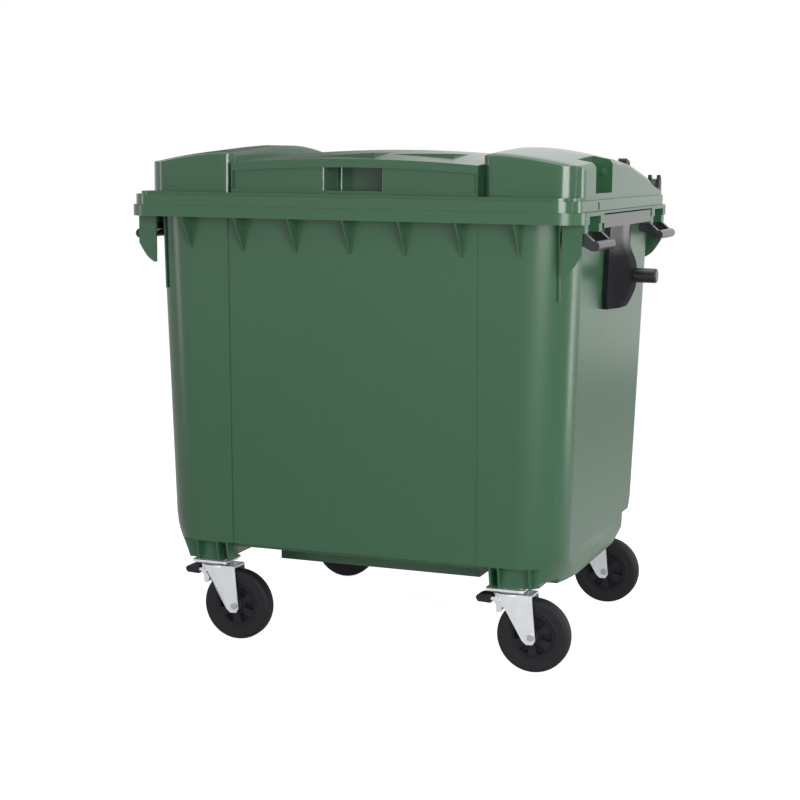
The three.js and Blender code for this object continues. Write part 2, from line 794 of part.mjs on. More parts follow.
// An arch from +half to -half across, whose ends lie fall lower than its middle.
function arch(half, middle, fall, steps) {
  const points = [];
  for (let step = 0; step <= steps; step++) {
    const share = 1 - (2 * step) / steps;
    points.push([half * share, middle - fall * share * share]);
  }
  return points;
}

// The arched panel between the hoods.
function centrePanel(inset) {
  const half = LID.hoodInner + OVERLAP + (inset > 0 ? LID.wall : 0);
  const rings = stations(PANEL_SHARES, LID.lipFront, inset).map((station) => {
    const top = arch(half, station.middle - inset, station.middle - station.edge, LID.panelSteps);
    const ring = [[-half, LID.base], [half, LID.base], ...top];
    return ring.map(([x, z]) => new THREE.Vector3(x, station.y, z));
  });
  return loft(rings);
}

// The shallow recess under the front lip, with its arched roof, and the deep hand hold in its middle.
function lipRecess(inset) {
  const half = LID.hoodInner - LID.recessMargin + inset;
  const ends = LID.floor + LID.recessHeight + inset;
  const roof = arch(half, ends + LID.recessArch, LID.recessArch, LID.roofSteps);
  const floor = LID.floor - inset;
  const front = LID.lipFront - OVERRUN;
  const outline = [[-half, floor], [half, floor], ...roof];
  const [shallow, deep] = [LID.recessDepth, LID.holdDepth].map((depth) =>
    prism("Y", outline, front, LID.lipFront + depth + inset),
  );
  const hold = LID.holdHalf + inset;
  const narrow = block(-hold, hold, front, LID.lipFront + OVERRUN + LID.holdDepth, floor, LID.base + LID.rise);
  return shallow.add(deep.intersect(narrow));
}

// The bay in the flank of a hood.
function flankBay(side, inset) {
  const middle = -LID.bayCentreShare * LID.halfY;
  const half = LID.bayLength / 2 + inset;
  const inner = LID.hoodOuter - LID.bayDepth - inset;
  const outer = LID.halfX + OVERRUN;
  const top = LID.base + LID.rise + OVERRUN;
  return block(side * inner, side * outer, middle - half, middle + half, LID.floor - inset, top);
}

// The lid's form with every face moved inwards by inset: 0 gives the outside, the wall gives the inside.
function lidForm(inset) {
  const foot = inset > 0 ? RIM.top - OVERRUN : LID.base;
  const edge = rounded(LID.halfX - inset, LID.halfY - inset, LID.radius - inset);
  const stepRadius = LID.radius - LID.stepInset - inset;
  const stepX = LID.halfX - LID.stepInset - inset;
  const stepY = LID.halfY - LID.stepInset - inset;
  const skirt = prism("Z", edge, foot, LID.skirtTop - inset);
  const step = prism("Z", rounded(stepX, stepY, stepRadius), foot, LID.stepTop - inset);
  const form = joined([skirt, step, centrePanel(inset), ...BOTH.map((side) => hood(side, inset))]);
  return without(form, [lipRecess(inset), ...BOTH.map((side) => flankBay(side, inset))]);
}

// The lug that carries the lid on one hinge pin, with a crest that closes the gap between the cheeks.
function lidLug(side) {
  const { y, z, lugRadius } = HINGE;
  const root = y - HINGE.notchDepth - LID.wall;
  const boss = arcPoints(y, z, lugRadius, -Math.PI / 2, 0, LID.cornerSteps);
  const outline = [
    [root, LID.base + LID.wall],
    ...boss,
    [y + lugRadius / 2, z + HINGE.lugRise],
    [y - 1.5 * lugRadius, z + HINGE.lugRise],
    [y - 2 * lugRadius, z + lugRadius],
    [root, z + lugRadius / 2],
  ];
  const x = side * HINGE.middle;
  return prism("X", outline, x - HINGE.lugHalf, x + HINGE.lugHalf);
}

function arcPoints(u, v, radius, from, to, steps) {
  const points = [];
  for (let step = 0; step <= steps; step++) {
    const angle = THREE.MathUtils.lerp(from, to, step / steps);
    points.push([u + radius * Math.cos(angle), v + radius * Math.sin(angle)]);
  }
  return points;
}

function hingeBore(side) {
  const x = side * HINGE.middle;
  const reach = HINGE.halfWidth + OVERRUN;
  return rod("X", HINGE.pinRadius + SEAT_GAP, x - reach, x + reach, [HINGE.y, HINGE.z], SIDES.bar);
}

function lid() {
  const shell = lidForm(0).subtract(lidForm(LID.wall));
  const reach = HINGE.halfWidth + HINGE.notchMargin;
  const bays = BOTH.map((side) =>
    block(
      side * (HINGE.middle - reach),
      side * (HINGE.middle + reach),
      HINGE.y - HINGE.notchDepth,
      RIM.halfY + OVERRUN,
      RIM.top - OVERRUN,
      HINGE.top + OVERRUN,
    ),
  );
  const open = without(shell, bays);
  return without(joined([open, ...BOTH.map(lidLug)]), BOTH.map(hingeBore));
}

// A hinge bracket: a saddle on the rear rim with two cheeks for the pin.
function hingeBracket(side) {
  const x = side * HINGE.middle;
  const back = RIM.halfY + SEAT_GAP;
  const outer = HINGE.y + 0.75 * HINGE.lugRadius;
  const seat = RIM.top + SEAT_GAP;
  const cheekOutline = [
    [back, RIM.bottom + SEAT_GAP],
    [outer - HINGE.notchMargin, RIM.bottom + 2 * BASE.ribWall],
    [outer, HINGE.z - HINGE.lugRadius],
    [outer, HINGE.top - HINGE.lugRadius],
    [outer - HINGE.lugRadius, HINGE.top],
    [outer - 2 * HINGE.lugRadius, HINGE.top],
    [outer - 3 * HINGE.lugRadius, HINGE.z + HINGE.lugRadius],
    [outer - 4 * HINGE.lugRadius, seat],
    [back, seat],
  ];
  const cheeks = BOTH.map((end) => {
    const from = x + end * HINGE.halfWidth;
    return prism("X", cheekOutline, from, from - end * HINGE.cheek);
  });
  const wall = HINGE.cheek / 2;
  const saddle = block(
    x - HINGE.halfWidth,
    x + HINGE.halfWidth,
    outer - 4 * HINGE.lugRadius,
    back + wall / 2,
    seat,
    seat + wall,
  );
  const flap = block(
    x - HINGE.halfWidth,
    x + HINGE.halfWidth,
    back,
    back + wall,
    RIM.bottom + SEAT_GAP,
    seat + wall,
  );
  return joined([...cheeks, saddle, flap]).subtract(hingeBore(side));
}

function hingePin(side) {
  const x = side * HINGE.middle;
  const reach = HINGE.halfWidth + HINGE.pinOverhang;
  return rod("X", HINGE.pinRadius, x - reach, x + reach, [HINGE.y, HINGE.z], SIDES.bar);
}

// A rubber buffer that sits astride the outer slope of a hood.
function lidBuffer(side) {
  const middle = LID.hoodOuter - BUFFER.inset;
  const [front, rear] = [BUFFER.frontShare, BUFFER.rearShare].map((along) => {
    const y = THREE.MathUtils.lerp(LID.hoodFront, LID.back, along);
    return { y, top: hoodTop(middle, along) + BUFFER.rise };
  });
  const root = rear.top - 3 * BUFFER.rise;
  const outline = [
    [front.y, root],
    [front.y, front.top - BUFFER.edge],
    [front.y + BUFFER.edge, front.top],
    [rear.y - BUFFER.edge, rear.top],
    [rear.y, rear.top - BUFFER.edge],
    [rear.y, root],
  ];
  const wedge = prism("X", outline, side * middle - BUFFER.halfWidth, side * middle + BUFFER.halfWidth);
  return wedge.subtract(hood(side, -SEAT_GAP));
}

// The height of a hood's top at x and at a share of the way from its front to its back.
function hoodTop(x, along) {
  const across = (x - LID.hoodInner) / (LID.hoodOuter - LID.hoodInner);
  const fall = between(CROWN_SHARES, FALL_SHARES, across);
  const places = HOOD_SHARES.map((share) => share.along);
  const inner = between(places, HOOD_SHARES.map((share) => share.inner), along);
  const outer = between(places, HOOD_SHARES.map((share) => share.outer), along);
  return LID.base + LID.rise * THREE.MathUtils.lerp(inner, outer, fall);
}

// The value at a place, read between the two nearest of the places given.
function between(places, values, place) {
  const next = Math.max(1, places.findIndex((p) => p >= place));
  const share = (place - places[next - 1]) / (places[next] - places[next - 1]);
  return THREE.MathUtils.lerp(values[next - 1], values[next], share);
}

// A trunnion bracket: strip under the rim, plate on the wall, and a nose round the pin.
function trunnionBracket(side) {
  const inner = wallX(TRUNNION.bottom) - TUB.wall;
  const strip = TRUNNION.stripOuter;
  const top = TRUNNION.stripTop;
  const stripPlate = block(
    side * (strip - TRUNNION.stripWall),
    side * strip,
    -TRUNNION.stripHalf,
    TRUNNION.stripHalf,
    top - TRUNNION.stripHeight,
    top,
  );
  const shelf = block(
    side * inner,
    side * strip,
    -TRUNNION.stripHalf,
    TRUNNION.stripHalf,
    top - TRUNNION.stripWall,
    top,
  );
  const rise = TRUNNION.height - TRUNNION.bottom;
  const profile = [
    [side * inner, top],
    [side * (strip - TRUNNION.stripWall / 2), top],
    [side * (strip - TRUNNION.stripWall / 2), TRUNNION.height + rise],
    [side * TRUNNION.noseX, TRUNNION.height + rise / 3],
    [side * TRUNNION.noseX, TRUNNION.height - rise / 3],
    [side * (strip - TRUNNION.stripWall), TRUNNION.bottom],
    [side * inner, TRUNNION.bottom],
  ];
  const plan = [
    [side * inner, -TRUNNION.neckHalf],
    [side * (inner + 2 * TRUNNION.stripWall), -TRUNNION.neckHalf],
    [side * TRUNNION.noseX, -TRUNNION.noseHalf],
    [side * TRUNNION.noseX, TRUNNION.noseHalf],
    [side * (inner + 2 * TRUNNION.stripWall), TRUNNION.neckHalf],
    [side * inner, TRUNNION.neckHalf],
  ];
  const wide = TRUNNION.neckHalf;
  const face = [
    [-TRUNNION.footHalf, TRUNNION.bottom],
    [TRUNNION.footHalf, TRUNNION.bottom],
    [TRUNNION.neckHalf, TRUNNION.height - rise / 3],
    [TRUNNION.neckHalf, top],
    [-TRUNNION.neckHalf, top],
    [-TRUNNION.neckHalf, TRUNNION.height - rise / 3],
  ];
  const nose = prism("Y", profile, -wide, wide)
    .intersect(prism("Z", plan, TRUNNION.bottom, top))
    .intersect(prism("X", face, side * inner, side * TRUNNION.noseX));
  const socket = rod(
    "X",
    TRUNNION.pinRadius + SEAT_GAP,
    side * (TRUNNION.noseX - TRUNNION.socket),
    side * (TRUNNION.noseX + OVERRUN),
    [0, TRUNNION.height],
    SIDES.pin,
  );
  return joined([stripPlate, shelf, nose]).subtract(tubForm(SEAT_GAP)).subtract(socket);
}

function trunnionPin(side) {
  const root = TRUNNION.noseX - TRUNNION.socket + SEAT_GAP;
  const tip = TRUNNION.tip - TRUNNION.chamfer;
  const small = TRUNNION.pinRadius - TRUNNION.chamfer;
  const centre = [0, TRUNNION.height];
  const bar = rod("X", TRUNNION.pinRadius, side * root, side * tip, centre, SIDES.pin);
  const ends = side > 0 ? [TRUNNION.pinRadius, small] : [small, TRUNNION.pinRadius];
  const cap = rod("X", ends[0], side * tip, side * TRUNNION.tip, centre, SIDES.pin, ends[1]);
  return bar.add(cap);
}

// A grip: two arms that drop from the posts to a round bar, tied by a plate along the wall.
function sideGrip(sideX, sideY) {
  const y = sideY * gripMiddle(sideX);
  const inner = wallX(GRIP.top) + SEAT_GAP;
  const arm = [
    [sideX * inner, GRIP.top],
    [sideX * (RIM.halfX - POST.inset), GRIP.top],
    [sideX * (GRIP.barX + GRIP.barRadius / 3), GRIP.barZ + GRIP.barRadius / 2],
    [sideX * (GRIP.barX + GRIP.barRadius / 2), GRIP.barZ - GRIP.barRadius / 2],
    [sideX * (GRIP.barX - GRIP.barRadius / 2), GRIP.barZ - GRIP.barRadius],
    [sideX * inner, GRIP.barZ + GRIP.barRadius],
  ];
  const arms = BOTH.map((end) => {
    const middle = y + (end * GRIP.armPitch) / 2;
    return prism("Y", arm, middle - GRIP.armWall / 2, middle + GRIP.armWall / 2);
  });
  const reach = GRIP.armPitch / 2 + GRIP.armWall / 2;
  const bar = rod("Y", GRIP.barRadius, y - reach, y + reach, [sideX * GRIP.barX, GRIP.barZ], SIDES.bar);
  const plate = block(
    sideX * inner,
    sideX * (inner + GRIP.plateWall),
    y - reach,
    y + reach,
    GRIP.barZ + GRIP.barRadius,
    GRIP.top,
  );
  return joined([...arms, bar, plate]);
}

// Castor pieces. The plate carries the king pin, whose head holds the fork up.
function castorPlate() {
  const halfX = CASTOR.boltX + CASTOR.plateEdgeX;
  const halfY = CASTOR.boltY + CASTOR.plateEdgeY;
  const low = CASTOR.plateBottom;
  const plate = prism("Z", rounded(halfX, halfY, CASTOR.plateRadius, 2), low, low + CASTOR.plateWall);
  const under = CASTOR.forkTop - FORK.top - SEAT_GAP;
  const headRadius = CASTOR.kingRadius + CASTOR.kingHeadWall;
  const stem = rod("Z", CASTOR.kingRadius, under - OVERLAP, low + OVERLAP, [0, 0], SIDES.stem);
  const head = rod("Z", headRadius, under - CASTOR.kingHeadHeight, under, [0, 0], SIDES.stem);
  const holes = boltPlaces().map((place) =>
    rod("Z", BOLT.radius + SEAT_GAP, low - OVERLAP, BASE.seat + OVERLAP, place, SIDES.hole),
  );
  return without(joined([plate, stem, head]), holes);
}

function castorRace() {
  const bore = CASTOR.kingRadius + SEAT_GAP;
  const low = CASTOR.raceBottom;
  const high = low + CASTOR.raceHeight;
  const bulge = CASTOR.raceRadius + CASTOR.raceBulge;
  const profile = [
    [bore, low],
    [CASTOR.raceRadius, low],
    [bulge, (low + high) / 2],
    [CASTOR.raceRadius, high],
    [bore, high],
    [bore, low],
  ];
  return turned(profile, SIDES.head, "Z");
}

// A leg's outline in shares of the fork's head radius from its top, then of the axle's eye
const HEAD_SHARES = [
  [-0.4, 0.55],
  [-0.4, 0],
];
const ELBOW_SHARE = [-0.1, 0.9];
const EYE_SHARES = [
  [0.75, -0.5],
  [0.3, -1.25],
  [-0.8, -1.3],
  [-1.5, -0.7],
];
// The ear that holds the brake's pin, in shares of the pin's boss
const BRAKE_EAR_SHARES = [
  [0, -1.5],
  [-1.3, -1],
];

function brakePin() {
  const reach = WHEEL.radius + BRAKE.standOff;
  const z = CASTOR.forkTop - BRAKE.pinDrop;
  return [CASTOR.trail - Math.sqrt(reach ** 2 - (z - WHEEL.radius) ** 2), z];
}

function castorFork(brake) {
  const top = CASTOR.forkTop;
  const crown = joined([
    rod("Z", FORK.headRadius, top - FORK.top, top, [0, 0]),
    block(0, CASTOR.trail, -FORK.halfWidth, FORK.halfWidth, top - FORK.top, top),
  ]);
  const eye = AXLE.radius + AXLE.head;
  const [pinX, pinZ] = brakePin();
  const ear = BRAKE_EAR_SHARES.map(([u, v]) => [pinX + u * BRAKE.boss, pinZ + v * BRAKE.boss]);
  const fromHead = ([u, v]) => [u * FORK.headRadius, top - v * FORK.headRadius];
  const leg = [
    ...(brake ? [...ear, [ear[1][0], top]] : HEAD_SHARES.map(fromHead)),
    [CASTOR.trail, top],
    ...EYE_SHARES.map(([u, v]) => [CASTOR.trail + u * eye, WHEEL.radius + v * eye]),
    fromHead(ELBOW_SHARE),
  ];
  const legs = BOTH.map((side) =>
    prism("Y", leg, side * FORK.halfWidth, side * (FORK.halfWidth - FORK.wall)),
  );
  const wide = FORK.halfWidth + OVERRUN;
  const axle = [CASTOR.trail, WHEEL.radius];
  const holes = [
    rod("Z", CASTOR.kingRadius + SEAT_GAP, top - OVERRUN, top + OVERRUN, [0, 0], SIDES.stem),
    rod("Y", AXLE.radius + SEAT_GAP, -wide, wide, axle, SIDES.bore),
  ];
  if (brake) holes.push(rod("Y", BRAKE.pinRadius + SEAT_GAP, -wide, wide, [pinX, pinZ], SIDES.bore));
  return without(joined([crown, ...legs]), holes);
}

function castorAxle() {
  const centre = [CASTOR.trail, WHEEL.radius];
  const face = FORK.halfWidth + SEAT_GAP;
  const end = face + AXLE.headHeight;
  return joined([
    rod("Y", AXLE.radius, -face - OVERLAP, end + AXLE.tail, centre, SIDES.bore),
    ...BOTH.map((side) => rod("Y", AXLE.head, side * face, side * end, centre, SIDES.nut)),
  ]);
}

// A wheel's centre: boss, spoke face with blind pockets on both sides, and the drum that carries the tyre.
function wheelHub() {
  const bore = AXLE.radius + SEAT_GAP;
  const drum = WHEEL.hubRadius - WHEEL.rimWall;
  const face = WHEEL.hubHalf - WHEEL.faceSink;
  const half = [
    [bore, WHEEL.bossHalf],
    [WHEEL.bossRadius, WHEEL.bossHalf],
    [WHEEL.bossRadius, face],
    [drum, face],
    [drum, WHEEL.hubHalf],
    [WHEEL.hubRadius, WHEEL.hubHalf],
  ];
  const below = half.map(([r, y]) => [r, -y]);
  const hub = turned([...below, ...half.toReversed(), below[0]], SIDES.head, "Y");
  const pockets = [];
  for (let i = 0; i < WHEEL.pockets; i++) {
    const outline = hubPocket((i * 2 * Math.PI) / WHEEL.pockets);
    BOTH.forEach((side) => pockets.push(prism("Y", outline, side * WHEEL.webHalf, side * (face + OVERLAP))));
  }
  return without(hub, pockets);
}

// The outline of one pocket between two spokes.
function hubPocket(middle) {
  const half = radians(WHEEL.pocketHalfAngle);
  const inner = WHEEL.bossRadius + WHEEL.pocketMargin;
  const outer = WHEEL.hubRadius - WHEEL.rimWall - WHEEL.pocketMargin;
  return [
    ...arcPoints(0, 0, inner, middle + half, middle - half, 1),
    ...arcPoints(0, 0, outer, middle - half, middle + half, 2),
  ];
}

// How the tyre's shoulder falls: shares of its half width inwards, and of it across
const SHOULDER_SHARES = [
  [0, 0.3],
  [0.24, 0.75],
  [0.8, 1],
];

// The tyre stands on one flat facet, so its corners lie a little outside the rolling radius.
function wheelTyre() {
  const facet = Math.cos(Math.PI / SIDES.wheel);
  const out = WHEEL.radius / facet;
  const bore = (WHEEL.hubRadius + SEAT_GAP) / facet;
  const half = WHEEL.treadHalf;
  const shoulder = SHOULDER_SHARES.map(([fall, across]) => [out - fall * half, across * half]);
  const side = [...shoulder, [bore, WHEEL.hubHalf - OVERLAP]];
  const below = side.map(([r, y]) => [r, -y]).toReversed();
  return turned([...below, ...side, below[0]], SIDES.wheel, "Y", Math.PI / SIDES.wheel);
}

// The lever's outline from its pin, in shares of the pin's boss: head, tail, then the pad on the tyre's side
const LEVER_SHARES = [
  [1, -0.5],
  [1, 0.5],
  [0.5, 1],
  [-3, 0.5],
  [-7, -0.1],
  [-7, -1.1],
  [-3, -0.7],
  [-1.7, -2],
  [-1.5, -5],
  [-0.4, -5.4],
  [0.7, -4.1],
];
const TAIL_SHARES = LEVER_SHARES.slice(3, 7);

// The brake lever: a pin in the fork's legs, a pad facing the tyre and a tail for the pedal.
function brakeLever() {
  const [pinX, pinZ] = brakePin();
  const outline = LEVER_SHARES.map(([u, v]) => [pinX + u * BRAKE.boss, pinZ + v * BRAKE.boss]);
  const body = prism("Y", outline, -BRAKE.halfWidth, BRAKE.halfWidth);
  const reach = FORK.halfWidth + BRAKE.pinTail;
  return body.add(rod("Y", BRAKE.pinRadius, -reach, reach, [pinX, pinZ], SIDES.bore));
}

// A pedal's outline: shares of the way from its heel to its tip, and of the pin's boss over the pin
const PEDAL_SHARES = [
  [0, 1.3],
  [0.7, 1.2],
  [0.95, 0.6],
  [1, -0.4],
  [0.85, -1.7],
  [0, -1.9],
];

// The pedal cap slides over the lever's tail.
function brakePedal() {
  const [pinX, pinZ] = brakePin();
  const { boss } = BRAKE;
  const length = BRAKE.tipReach - BRAKE.heelReach;
  const outline = PEDAL_SHARES.map(([along, rise]) => [
    pinX - BRAKE.heelReach - along * length,
    pinZ + rise * boss,
  ]);
  const half = BRAKE.halfWidth + BRAKE.pedalEdge;
  const tail = TAIL_SHARES.map(([u, v], i) => {
    const [outwards, upwards] = [i === 1 || i === 2 ? SEAT_GAP : 0, i < 2 ? SEAT_GAP : -SEAT_GAP];
    return [pinX + u * boss - outwards, pinZ + v * boss + upwards];
  });
  const slot = prism("Y", tail, -BRAKE.halfWidth - SEAT_GAP, BRAKE.halfWidth + SEAT_GAP);
  return prism("Y", outline, -half, half).subtract(slot);
}

function boltBottom() {
  return CASTOR.plateBottom - SEAT_GAP - BOLT.headHeight;
}

function plateBolt() {
  const low = boltBottom();
  const neck = low + BOLT.headHeight;
  return joined([
    rod("Z", BOLT.head, low, neck, [0, 0], SIDES.nut),
    rod("Z", BOLT.radius, neck - OVERLAP, neck + BOLT.length, [0, 0], SIDES.hole),
  ]);
}

function addCastor(seat) {
  const place = new THREE.Vector3(seat.x, seat.y, 0);
  const wheelPlace = place.clone().add(new THREE.Vector3(CASTOR.trail, 0, WHEEL.radius));
  addPart(`castor_plate_${seat.name}`, castorPlate(), FINISH.zinc, place);
  addPart(`swivel_race_${seat.name}`, castorRace(), FINISH.steel, place);
  addPart(`castor_fork_${seat.name}`, castorFork(seat.brake), FINISH.zinc, place);
  addPart(`wheel_axle_${seat.name}`, castorAxle(), FINISH.steel, place);
  addPart(`wheel_hub_${seat.name}`, wheelHub(), FINISH.hub, wheelPlace);
  addPart(`tyre_${seat.name}`, wheelTyre(), FINISH.rubber, wheelPlace);
  boltPlaces().forEach(([u, v], i) => {
    const at = place.clone().add(new THREE.Vector3(u, v, 0));
    addPart(`plate_bolt_${seat.name}_${i + 1}`, plateBolt(), FINISH.steel, at);
  });
  if (!seat.brake) return;
  addPart(`brake_lever_${seat.name}`, brakeLever(), FINISH.zinc, place);
  addPart(`brake_pedal_${seat.name}`, brakePedal(), FINISH.black, place);
}

addPart("container_body", containerBody(), FINISH.green);
addPart("lid", lid(), FINISH.green);
[
  { name: "left", side: -1 },
  { name: "right", side: 1 },
].forEach(({ name, side }) => {
  addPart(`trunnion_bracket_${name}`, trunnionBracket(side), FINISH.black);
  addPart(`trunnion_pin_${name}`, trunnionPin(side), FINISH.black);
  addPart(`hinge_bracket_${name}`, hingeBracket(side), FINISH.black);
  addPart(`hinge_pin_${name}`, hingePin(side), FINISH.steel);
  addPart(`lid_buffer_${name}`, lidBuffer(side), FINISH.black);
  addPart(`side_grip_front_${name}`, sideGrip(side, -1), FINISH.black);
  addPart(`side_grip_rear_${name}`, sideGrip(side, 1), FINISH.black);
});
castorSeats().forEach(addCastor);

export default container;
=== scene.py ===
"""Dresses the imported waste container: smooth mouldings, castors, finishes, light and camera."""

import json
import logging
import math
from collections.abc import Sequence
from dataclasses import dataclass
from enum import Enum

import bmesh
import bpy
from mathutils import Matrix, Vector

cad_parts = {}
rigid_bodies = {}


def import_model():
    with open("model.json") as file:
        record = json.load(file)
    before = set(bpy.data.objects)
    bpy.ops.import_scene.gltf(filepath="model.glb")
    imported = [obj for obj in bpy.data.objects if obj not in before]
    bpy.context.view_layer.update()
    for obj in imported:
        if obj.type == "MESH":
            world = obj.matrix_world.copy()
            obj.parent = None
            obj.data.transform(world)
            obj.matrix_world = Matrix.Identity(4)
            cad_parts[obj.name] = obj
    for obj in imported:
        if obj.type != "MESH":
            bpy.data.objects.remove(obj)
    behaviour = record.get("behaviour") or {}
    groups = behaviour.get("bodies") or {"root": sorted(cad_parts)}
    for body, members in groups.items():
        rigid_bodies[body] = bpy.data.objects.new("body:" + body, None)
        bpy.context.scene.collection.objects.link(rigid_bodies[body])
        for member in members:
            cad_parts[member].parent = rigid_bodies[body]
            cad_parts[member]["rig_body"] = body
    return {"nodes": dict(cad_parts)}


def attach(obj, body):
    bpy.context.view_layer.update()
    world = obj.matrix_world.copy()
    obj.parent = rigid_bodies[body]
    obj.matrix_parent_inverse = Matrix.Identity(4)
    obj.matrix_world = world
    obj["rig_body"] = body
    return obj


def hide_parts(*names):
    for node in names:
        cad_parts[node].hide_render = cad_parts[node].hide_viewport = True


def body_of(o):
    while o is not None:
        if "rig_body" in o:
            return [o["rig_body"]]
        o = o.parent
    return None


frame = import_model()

LOG = logging.getLogger("waste_container")
MM = 0.001
COAT_ROUGHNESS = 0.22
EDGE_STEPS = 2
LEAST_STEP = 0.01
SAME_POINT = 1e-7
WELD_DISTANCE = 2e-6
FLAT_ANGLE = math.radians(0.6)
SHARP_MARGIN = 6.0
ROD_EDGE_SHARE = 0.12
ROD_EDGE_MOST = 1.6

Point = tuple[float, float, float]
Outline = list[tuple[float, float]]
Ring = list[Point]


class Slot(Enum):
    """The material slots of the record."""

    BODY = "body_green"
    LID = "lid_green"
    GLOSS = "black_gloss"
    MOULDED = "black_moulded"
    TYRE = "tyre_rubber"
    HUB = "hub_black"
    ZINC = "zinc"
    STEEL = "steel"


class Axis(Enum):
    """The axis that a prism or a turned shape is made along."""

    X = "x"
    Y = "y"
    Z = "z"


class Cut(Enum):
    """How one solid is joined with another."""

    ADD = "UNION"
    TAKE = "DIFFERENCE"
    KEEP = "INTERSECT"


# Finishes


@dataclass(frozen=True)
class Finish:
    """One surface finish: colour, gloss and the grain that the mould or the plating leaves."""

    name: str
    slot: Slot
    colour: tuple[float, float, float]
    roughness: float
    tint_spread: float = 0.08
    gloss_spread: float = 0.06
    cloud_size: float = 3.0
    grain_size: float = 420.0
    grain_height: float = 0.04
    metallic: float = 0.0
    specular: float = 0.5
    coat_span: tuple[float, float] | None = None


GREEN = Finish("green_moulding", Slot.BODY, (0.028, 0.096, 0.044), 0.27, 0.04, 0.015, grain_height=0.006)
LID_GREEN = Finish(
    "green_lid_moulding", Slot.LID, (0.029, 0.096, 0.045), 0.18, 0.04, 0.015, grain_height=0.006
)
GLOSS_BLACK = Finish("black_gloss_moulding", Slot.GLOSS, (0.009, 0.009, 0.011), 0.24)
BRACKET_BLACK = Finish(
    "black_bracket_moulding", Slot.GLOSS, (0.010, 0.010, 0.012), 0.6, specular=0.05, coat_span=(1.085, 1.150)
)
SATIN_BLACK = Finish("black_satin_moulding", Slot.MOULDED, (0.010, 0.010, 0.012), 0.45, specular=0.3)
RUBBER = Finish(
    "solid_tyre", Slot.TYRE, (0.014, 0.014, 0.017), 0.6, 0.15, 0.12, 14.0, 700.0, 0.08, specular=0.2
)
HUB_BLACK = Finish("wheel_centre", Slot.HUB, (0.013, 0.013, 0.016), 0.45, grain_height=0.06, specular=0.2)
ZINC = Finish("zinc_plate", Slot.ZINC, (0.78, 0.80, 0.83), 0.34, 0.16, 0.16, 26.0, 300.0, 0.03, 0.9)
STEEL = Finish("plated_fastener", Slot.STEEL, (0.45, 0.46, 0.48), 0.36, 0.12, 0.14, 40.0, 500.0, 0.03, 0.9)


def math_node(
    tree: bpy.types.NodeTree,
    operation: str,
    first: bpy.types.NodeSocket,
    second: bpy.types.NodeSocket | float,
) -> bpy.types.NodeSocket:
    """Adds one Math node.

    Args:
        tree: The tree that gets the node.
        operation: The node's operation.
        first: What feeds the first input.
        second: A socket or a number for the second input.

    Returns:
        The node's output socket.
    """
    node = tree.nodes.new("ShaderNodeMath")
    node.operation = operation
    tree.links.new(first, node.inputs[0])
    if isinstance(second, bpy.types.NodeSocket):
        tree.links.new(second, node.inputs[1])
    else:
        node.inputs[1].default_value = second
    return node.outputs["Value"]


def add_sockets(tree: bpy.types.NodeTree, way: str, kind: str, *names: str) -> None:
    """Gives a node group named sockets of one kind, as inputs or as outputs."""
    for name in names:
        tree.interface.new_socket(name, in_out=way, socket_type=f"NodeSocket{kind}")


class SharedGroup:
    """A shader node group that is built once and shared."""

    _tree: bpy.types.NodeTree | None = None

    @classmethod
    def tree(cls) -> bpy.types.NodeTree:
        """The group, built once."""
        if cls._tree is None:
            cls._tree = cls._build()
        return cls._tree


class SurfaceGroup(SharedGroup):
    """The shader node group that all the finishes share: clouded colour, clouded gloss and fine grain."""

    @staticmethod
    def _build() -> bpy.types.NodeTree:
        """Builds the group.

        Returns:
            A node tree with the outputs Colour, Roughness and Height.
        """
        tree = bpy.data.node_groups.new("moulded_surface", "ShaderNodeTree")
        add_sockets(tree, "INPUT", "Color", "Colour")
        add_sockets(
            tree, "INPUT", "Float", "Tint Spread", "Roughness", "Gloss Spread", "Cloud Size", "Grain Size"
        )
        add_sockets(tree, "OUTPUT", "Color", "Colour")
        add_sockets(tree, "OUTPUT", "Float", "Roughness", "Height")
        nodes, links = tree.nodes, tree.links
        given = nodes.new("NodeGroupInput")
        out = nodes.new("NodeGroupOutput")
        place = nodes.new("ShaderNodeTexCoord")
        cloud = nodes.new("ShaderNodeTexNoise")
        cloud.inputs["Detail"].default_value = 4.0
        grain = nodes.new("ShaderNodeTexNoise")
        grain.inputs["Detail"].default_value = 2.0
        streak_place = nodes.new("ShaderNodeMapping")
        streak_place.inputs["Scale"].default_value = (9.0, 9.0, 0.6)
        streak = nodes.new("ShaderNodeTexNoise")
        streak.inputs["Detail"].default_value = 3.0
        links.new(place.outputs["Object"], cloud.inputs["Vector"])
        links.new(place.outputs["Object"], grain.inputs["Vector"])
        links.new(place.outputs["Object"], streak_place.inputs["Vector"])
        links.new(streak_place.outputs["Vector"], streak.inputs["Vector"])
        links.new(given.outputs["Cloud Size"], cloud.inputs["Scale"])
        links.new(given.outputs["Grain Size"], grain.inputs["Scale"])
        blend = math_node(tree, "ADD", cloud.outputs["Fac"], streak.outputs["Fac"])
        centred = math_node(tree, "SUBTRACT", blend, 1.0)
        tint = math_node(tree, "MULTIPLY", centred, given.outputs["Tint Spread"])
        bright = math_node(tree, "ADD", tint, 1.0)
        shade = nodes.new("ShaderNodeVectorMath")
        shade.operation = "SCALE"
        links.new(given.outputs["Colour"], shade.inputs[0])
        links.new(bright, shade.inputs["Scale"])
        links.new(shade.outputs["Vector"], out.inputs["Colour"])
        gloss = math_node(tree, "MULTIPLY", centred, given.outputs["Gloss Spread"])
        rough = math_node(tree, "ADD", gloss, given.outputs["Roughness"])
        links.new(rough, out.inputs["Roughness"])
        links.new(grain.outputs["Fac"], out.inputs["Height"])
        return tree


